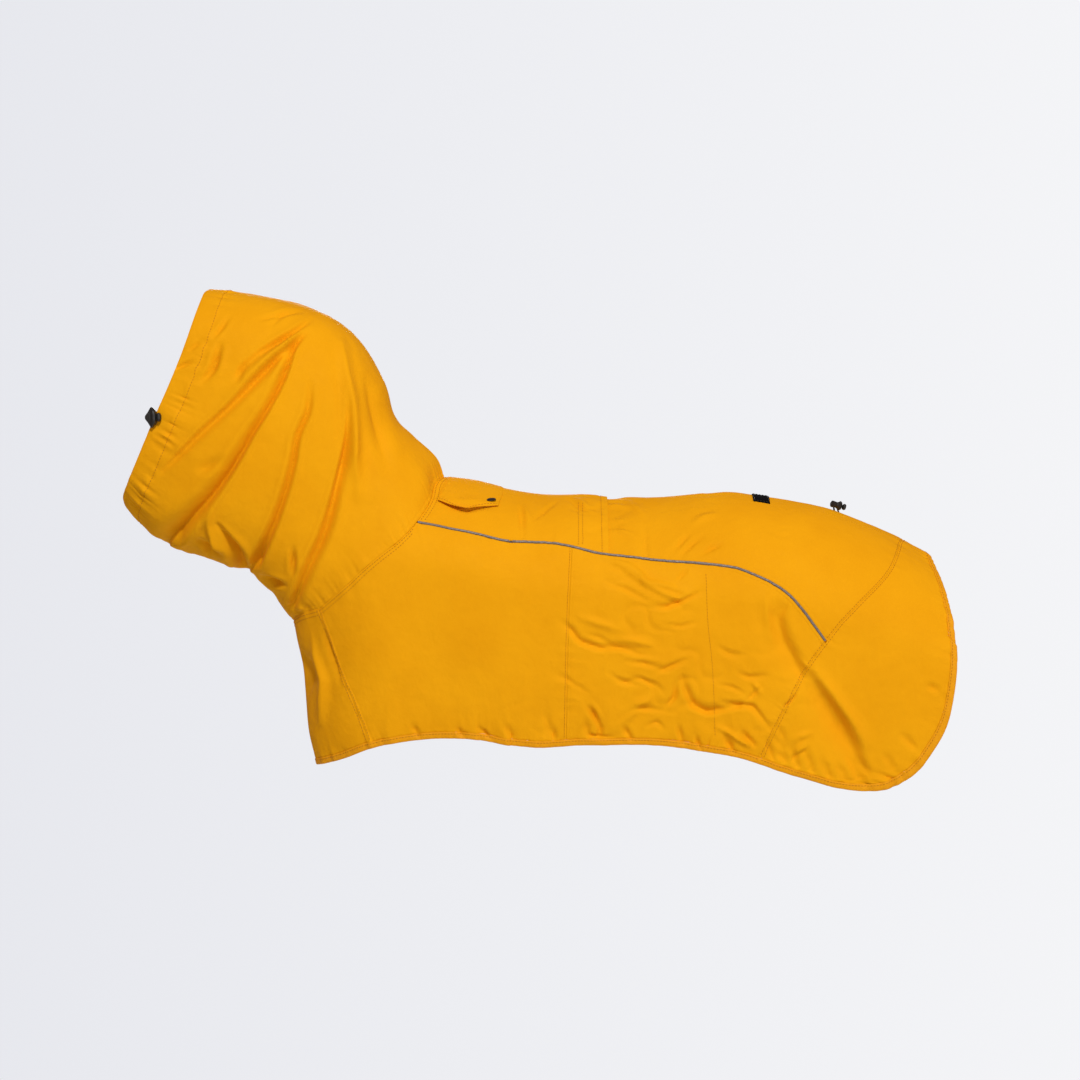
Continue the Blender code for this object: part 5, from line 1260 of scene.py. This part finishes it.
def make_tail_lock():
    """Cord lock standing on the spine, with the two legs of its cord."""
    tilt = math.radians(TAIL_LOCK_TILT)
    along = np.array([math.cos(tilt), 0.0, math.sin(tilt)])
    up = np.array([-math.sin(tilt), 0.0, math.cos(tilt)])
    centre = frame_on_body(TAIL_LOCK_X, 0.0)[0] + up * TAIL_LOCK_RISE
    make_cord_lock("tail_lock", "tail_plunger", centre, along, up)
    places, _, depths = np.array(LOCK_SECTIONS).T
    for name, behind in zip(("tail_cord_front", "tail_cord_rear"), TAIL_CORD_FEET):
        foot, _, on_cloth = frame_on_body(TAIL_LOCK_X + behind, 0.0)
        offset = behind - TAIL_CORD_LEAN
        half_depth = np.interp(offset, places * LOCK_SIZE[0], depths * LOCK_SIZE[2] / 2)
        head = centre + along * offset - up * half_depth
        rings = round_rings(straight(foot, head, CORD_RINGS - 1), on_cloth,
                            np.array([0.0, 1.0, 0.0]), TAIL_CORD_RADIUS, CORD_SIDES)
        add_loft(name, rings, "cord")


# ---- stitches

def row_beside(cloth, border, away, end=1.0):
    """Points and normals of the line at a distance from one border of a cloth's outer face."""
    outer, normals = [from_border(grid, border) for grid in cloth]
    run = run_along(outer)
    away = np.broadcast_to(away, run.shape[1])
    spot = np.clip(np.sum(run <= away, axis=0) - 1, 0, len(run) - 2)
    columns = np.arange(run.shape[1])
    low, high = run[spot, columns], run[spot + 1, columns]
    share = ((away - low) / (high - low))[:, None]
    points = outer[spot, columns] * (1 - share) + outer[spot + 1, columns] * share
    whole = run_along(points)
    kept = whole <= end * whole[-1]
    return points[kept], normals[spot, columns][kept]


def row_on(cloth, places):
    """The same for a free line of x and z over a cloth's left side, by its nearest corners."""
    line = Line(places)
    x, z = side_view(cloth.outer)
    hidden = FAR * (cloth.outer[..., 1] >= 0)
    points, normals = [], []
    for spot in line.between(0, line.length, int(line.length / ROW_STEP)):
        away = np.hypot(x - spot[0], z - spot[1]) + hidden
        nearest = np.argsort(away, axis=None)[:ROW_CORNERS]
        weight = 1 / (away.ravel()[nearest] + ROW_SOFTNESS)
        weight = (weight / weight.sum())[:, None]
        points.append((cloth.outer.reshape(-1, 3)[nearest] * weight).sum(axis=0))
        normals.append(cloth.normals.reshape(-1, 3)[nearest[0]])
    return np.array(points), np.array(normals)


def sew(name, rows, material="thread"):
    """Short bowed lengths of thread along every row."""
    stitches = []
    for points, ups in rows:
        run = run_along(points)
        first = np.arange(FIRST_STITCH, run[-1] - STITCH_LENGTH, STITCH_PITCH)
        stitches.append([sample(run, points, first), sample(run, points, first + STITCH_LENGTH),
                         sample(run, ups, first)])
    start, end, up = [np.concatenate(part)[:, None, None] for part in zip(*stitches)]
    across = np.cross(up, unit(end - start))
    place, height, thickness = np.array(THREAD_PROFILE).T[:, None, :, None, None]
    angles = (np.arange(THREAD_SIDES) * 2 * math.pi / THREAD_SIDES)[None, None, :, None]
    corners = (start + (end - start) * place + up * height
               + THREAD_RADIUS * thickness * (np.cos(angles) * up + np.sin(angles) * across))
    count, rings = corners.shape[:2]
    quads = grid_faces(rings, THREAD_SIDES, closed=True)[:, ::-1]
    shift = (np.arange(count) * rings * THREAD_SIDES)[:, None, None]
    add_piece(name, corners, (quads[None] + shift).reshape(-1, 4).tolist(), [material])


def make_stitches():
    """Every row of stitches, on the finished outer faces."""
    hood, body = [], []
    faint = row_on(CLOTHS["side_rear_left"], FAINT_STITCHES)
    single = [faint] + [row_on(CLOTHS["back_yoke_front"], line) for line in VENT_STITCHES]
    for side, way in SIDES:
        half = CLOTHS[f"hood_{side}"]
        widths = np.linspace(CASING_NARROW, CASING_WIDE, half.outer.shape[1])
        hood.append(row_beside(half, 0, widths))
        body += [row_beside(CLOTHS[f"{panel}_{side}"], *row) for panel, *row in SIDE_ROWS]
        body += [(points * [1.0, way, 1.0], normals * [1.0, way, 1.0])
                 for points, normals in single]
    body += [row_beside(CLOTHS[panel], *row) for panel, *row in BODY_ROWS]
    hem = [row_beside(CLOTHS[name], 2, HEM_ROW) for name in CLOTHS if "binding" in name]
    label = [row_beside(CLOTHS["label_patch"], border, LABEL_ROW) for border in range(4)]
    sew("stitches_hood", hood)
    sew("stitches_body", body)
    sew("stitches_hem", hem)
    sew("stitches_label", label, "label_thread")


# ---- materials

def add_node(tree, kind, inputs=(), **settings):
    """Node with settings; an input is a value or the socket that it is linked from."""
    made = tree.nodes.new(kind)
    for name, value in settings.items():
        setattr(made, name, value)
    for socket, value in dict(inputs).items():
        if isinstance(value, bpy.types.NodeSocket):
            tree.links.new(value, made.inputs[socket])
        else:
            made.inputs[socket].default_value = value
    return made


def ranged(tree, value, low, high):
    """A noise value spread between two limits."""
    return add_node(tree, "ShaderNodeMapRange",
                    {"Value": value, "From Min": NOISE_LOW, "From Max": NOISE_HIGH,
                     "To Min": low, "To Max": high}).outputs["Result"]


def blend_colours(tree, share, first, second):
    """Blend of two colours, each given as numbers or as a socket."""
    ends = [(*end, 1.0) if isinstance(end, tuple) else end for end in (first, second)]
    return add_node(tree, "ShaderNodeMix", {"Factor": share, 6: ends[0], 7: ends[1]},
                    data_type="RGBA").outputs[2]


def new_material(name, sockets):
    """Material with its shader's own sockets set, and its tree."""
    material = bpy.data.materials.new(name)
    material.use_nodes = True
    shader = material.node_tree.nodes["Principled BSDF"]
    for socket, value in sockets.items():
        shader.inputs[socket].default_value = value
    return material, material.node_tree, shader


def bumped(tree, shader, layers):
    """Chain of bumps: height socket and distance in metres of each."""
    inputs = {"Strength": BUMP_STRENGTH}
    for height, distance in layers:
        inputs.update({"Height": height, "Distance": distance})
        inputs["Normal"] = add_node(tree, "ShaderNodeBump", inputs).outputs["Normal"]
    tree.links.new(inputs["Normal"], shader.inputs["Normal"])


def object_noise(tree, scale, detail=3.0):
    """Noise over the piece, in bumps of about one over the scale in metres."""
    place = add_node(tree, "ShaderNodeTexCoord").outputs["Object"]
    return add_node(tree, "ShaderNodeTexNoise",
                    {"Vector": place, "Scale": scale, "Detail": detail}).outputs["Fac"]


def weave(tree, pitch):
    """Height of a plain weave with threads this far apart, along the grain of the cut."""
    place = add_node(tree, "ShaderNodeUVMap", uv_map="weave").outputs["UV"]
    scale = 2 * math.pi / (WAVE_RATE * pitch * MM)
    waves = [add_node(tree, "ShaderNodeTexWave", {"Vector": place, "Scale": scale},
                      bands_direction=direction).outputs["Fac"] for direction in "XY"]
    return add_node(tree, "ShaderNodeMath", {0: waves[0], 1: waves[1]},
                    operation="MULTIPLY").outputs[0]


def uneven(name, colour, deep, roughness, scales, spread, sockets):
    """Material whose colour and shine vary over two scales."""
    material, tree, shader = new_material(name, sockets)
    patch, shine = [object_noise(tree, scale) for scale in scales]
    mixed = blend_colours(tree, ranged(tree, patch, 0.0, 1.0), colour, deep)
    rough = ranged(tree, shine, roughness - spread[0], roughness + spread[1])
    tree.links.new(mixed, shader.inputs["Base Color"])
    tree.links.new(rough, shader.inputs["Roughness"])
    return material, tree, shader


def cloth_material(name, colour, deep, roughness, pitch, sheen):
    """Coated cloth: a fine weave, a little slub and dirt, and an uneven dull shine."""
    material, tree, shader = uneven(name, colour, deep, roughness, CLOTH_PATCHES, CLOTH_SPREAD,
                                    {"Sheen Weight": sheen, **CLOTH_SHINE})
    bumps = [(object_noise(tree, scale, 2.0), height) for scale, height in CLOTH_BUMPS]
    bumped(tree, shader, bumps + [(weave(tree, pitch), WEAVE_HEIGHT)])
    return material


def plain_material(name, colour, deep, roughness, grain, height, metallic, specular):
    """Material whose colour, shine and surface vary over a fine grain."""
    material, tree, shader = uneven(name, colour, deep, roughness,
                                    [grain * share for share in GRAIN_SHARES], PLAIN_SPREAD,
                                    {"Metallic": metallic, "Specular IOR Level": specular})
    bumped(tree, shader, ((object_noise(tree, grain), height),))
    return material


# ---- stage, lights and camera

def add_object(name, data):
    """Object with its data, in the scene."""
    made = bpy.data.objects.new(name, data)
    bpy.context.scene.collection.objects.link(made)
    return made


def make_floor():
    """Plain pale floor that fades out at its rim."""
    bpy.ops.mesh.primitive_circle_add(vertices=128, radius=FLOOR_RADIUS, fill_type="NGON",
                                      location=(0.0, 0.0, FLOOR_Z))
    floor = bpy.context.object
    floor.name = "floor"
    material, tree, shader = new_material("floor", {"Roughness": 0.85, "Specular IOR Level": 0.1})
    spread = ranged(tree, object_noise(tree, 30.0), 0.0, 1.0)
    tree.links.new(blend_colours(tree, spread, *FLOOR_COLOURS), shader.inputs["Base Color"])
    place = add_node(tree, "ShaderNodeTexCoord").outputs["Object"]
    away = add_node(tree, "ShaderNodeVectorMath", {0: place}, operation="LENGTH").outputs["Value"]
    fade = add_node(tree, "ShaderNodeMapRange",
                    {"Value": away, "From Min": FLOOR_PLAIN * FLOOR_RADIUS,
                     "From Max": FLOOR_RADIUS, "To Min": 1.0, "To Max": 0.0},
                    interpolation_type="SMOOTHSTEP")
    tree.links.new(fade.outputs["Result"], shader.inputs["Alpha"])
    floor.data.materials.append(material)


def make_world():
    """Pale studio, a little brighter towards the tail; the light from it is dimmer and warmer."""
    bpy.context.scene.view_settings.view_transform = "Standard"
    world = bpy.data.worlds.new("studio")
    bpy.context.scene.world = world
    world.use_nodes = True
    tree = world.node_tree
    background = tree.nodes["Background"]
    place = add_node(tree, "ShaderNodeTexCoord").outputs["Generated"]
    x = add_node(tree, "ShaderNodeSeparateXYZ", {"Vector": place}).outputs["X"]
    share = add_node(tree, "ShaderNodeMapRange",
                     {"Value": x, "From Min": -BACKGROUND_REACH,
                      "From Max": BACKGROUND_REACH}).outputs["Result"]
    seen = add_node(tree, "ShaderNodeLightPath").outputs["Is Camera Ray"]
    behind = blend_colours(tree, share, BACKGROUND_LEFT, BACKGROUND_RIGHT)
    tree.links.new(blend_colours(tree, seen, WORLD_TINT, behind), background.inputs["Color"])
    strength = add_node(tree, "ShaderNodeMapRange",
                        {"Value": seen, "To Min": WORLD_LIGHT, "To Max": 1.0})
    tree.links.new(strength.outputs["Result"], background.inputs["Strength"])


def make_lights():
    """Round area lights, each turned towards the coat."""
    for name, place, size, power, colour in LIGHTS:
        light = bpy.data.lights.new(name, "AREA")
        light.shape = "DISK"
        light.size = size
        light.energy = power
        light.color = colour
        holder = add_object(name, light)
        holder.location = place
        holder.rotation_euler = (-Vector(place)).to_track_quat("-Z", "Y").to_euler()


def make_camera():
    """Level camera square to the left side."""
    camera = bpy.data.cameras.new("camera")
    camera.lens = LENS
    camera.sensor_width = SENSOR
    holder = add_object("camera", camera)
    holder.location = (0.0, -VIEW_DISTANCE * MM, VIEW_HEIGHT * MM)
    holder.rotation_euler = (math.radians(90), 0.0, 0.0)
    bpy.context.scene.camera = holder


# ---- the whole coat


MATERIALS = {row[0]: cloth_material(*row) for row in CLOTH_MATERIALS}
MATERIALS.update({row[0]: plain_material(*row) for row in PLAIN_MATERIALS})
for make in (make_camera, make_lights, make_world, make_floor,
             make_hood_halves, make_yoke, make_side_panels, make_chest_panel, make_tail_panel,
             make_bindings, make_leash_flap, make_label, make_stitches,
             make_piping, make_snap, make_hood_locks, make_tail_lock):
    make()
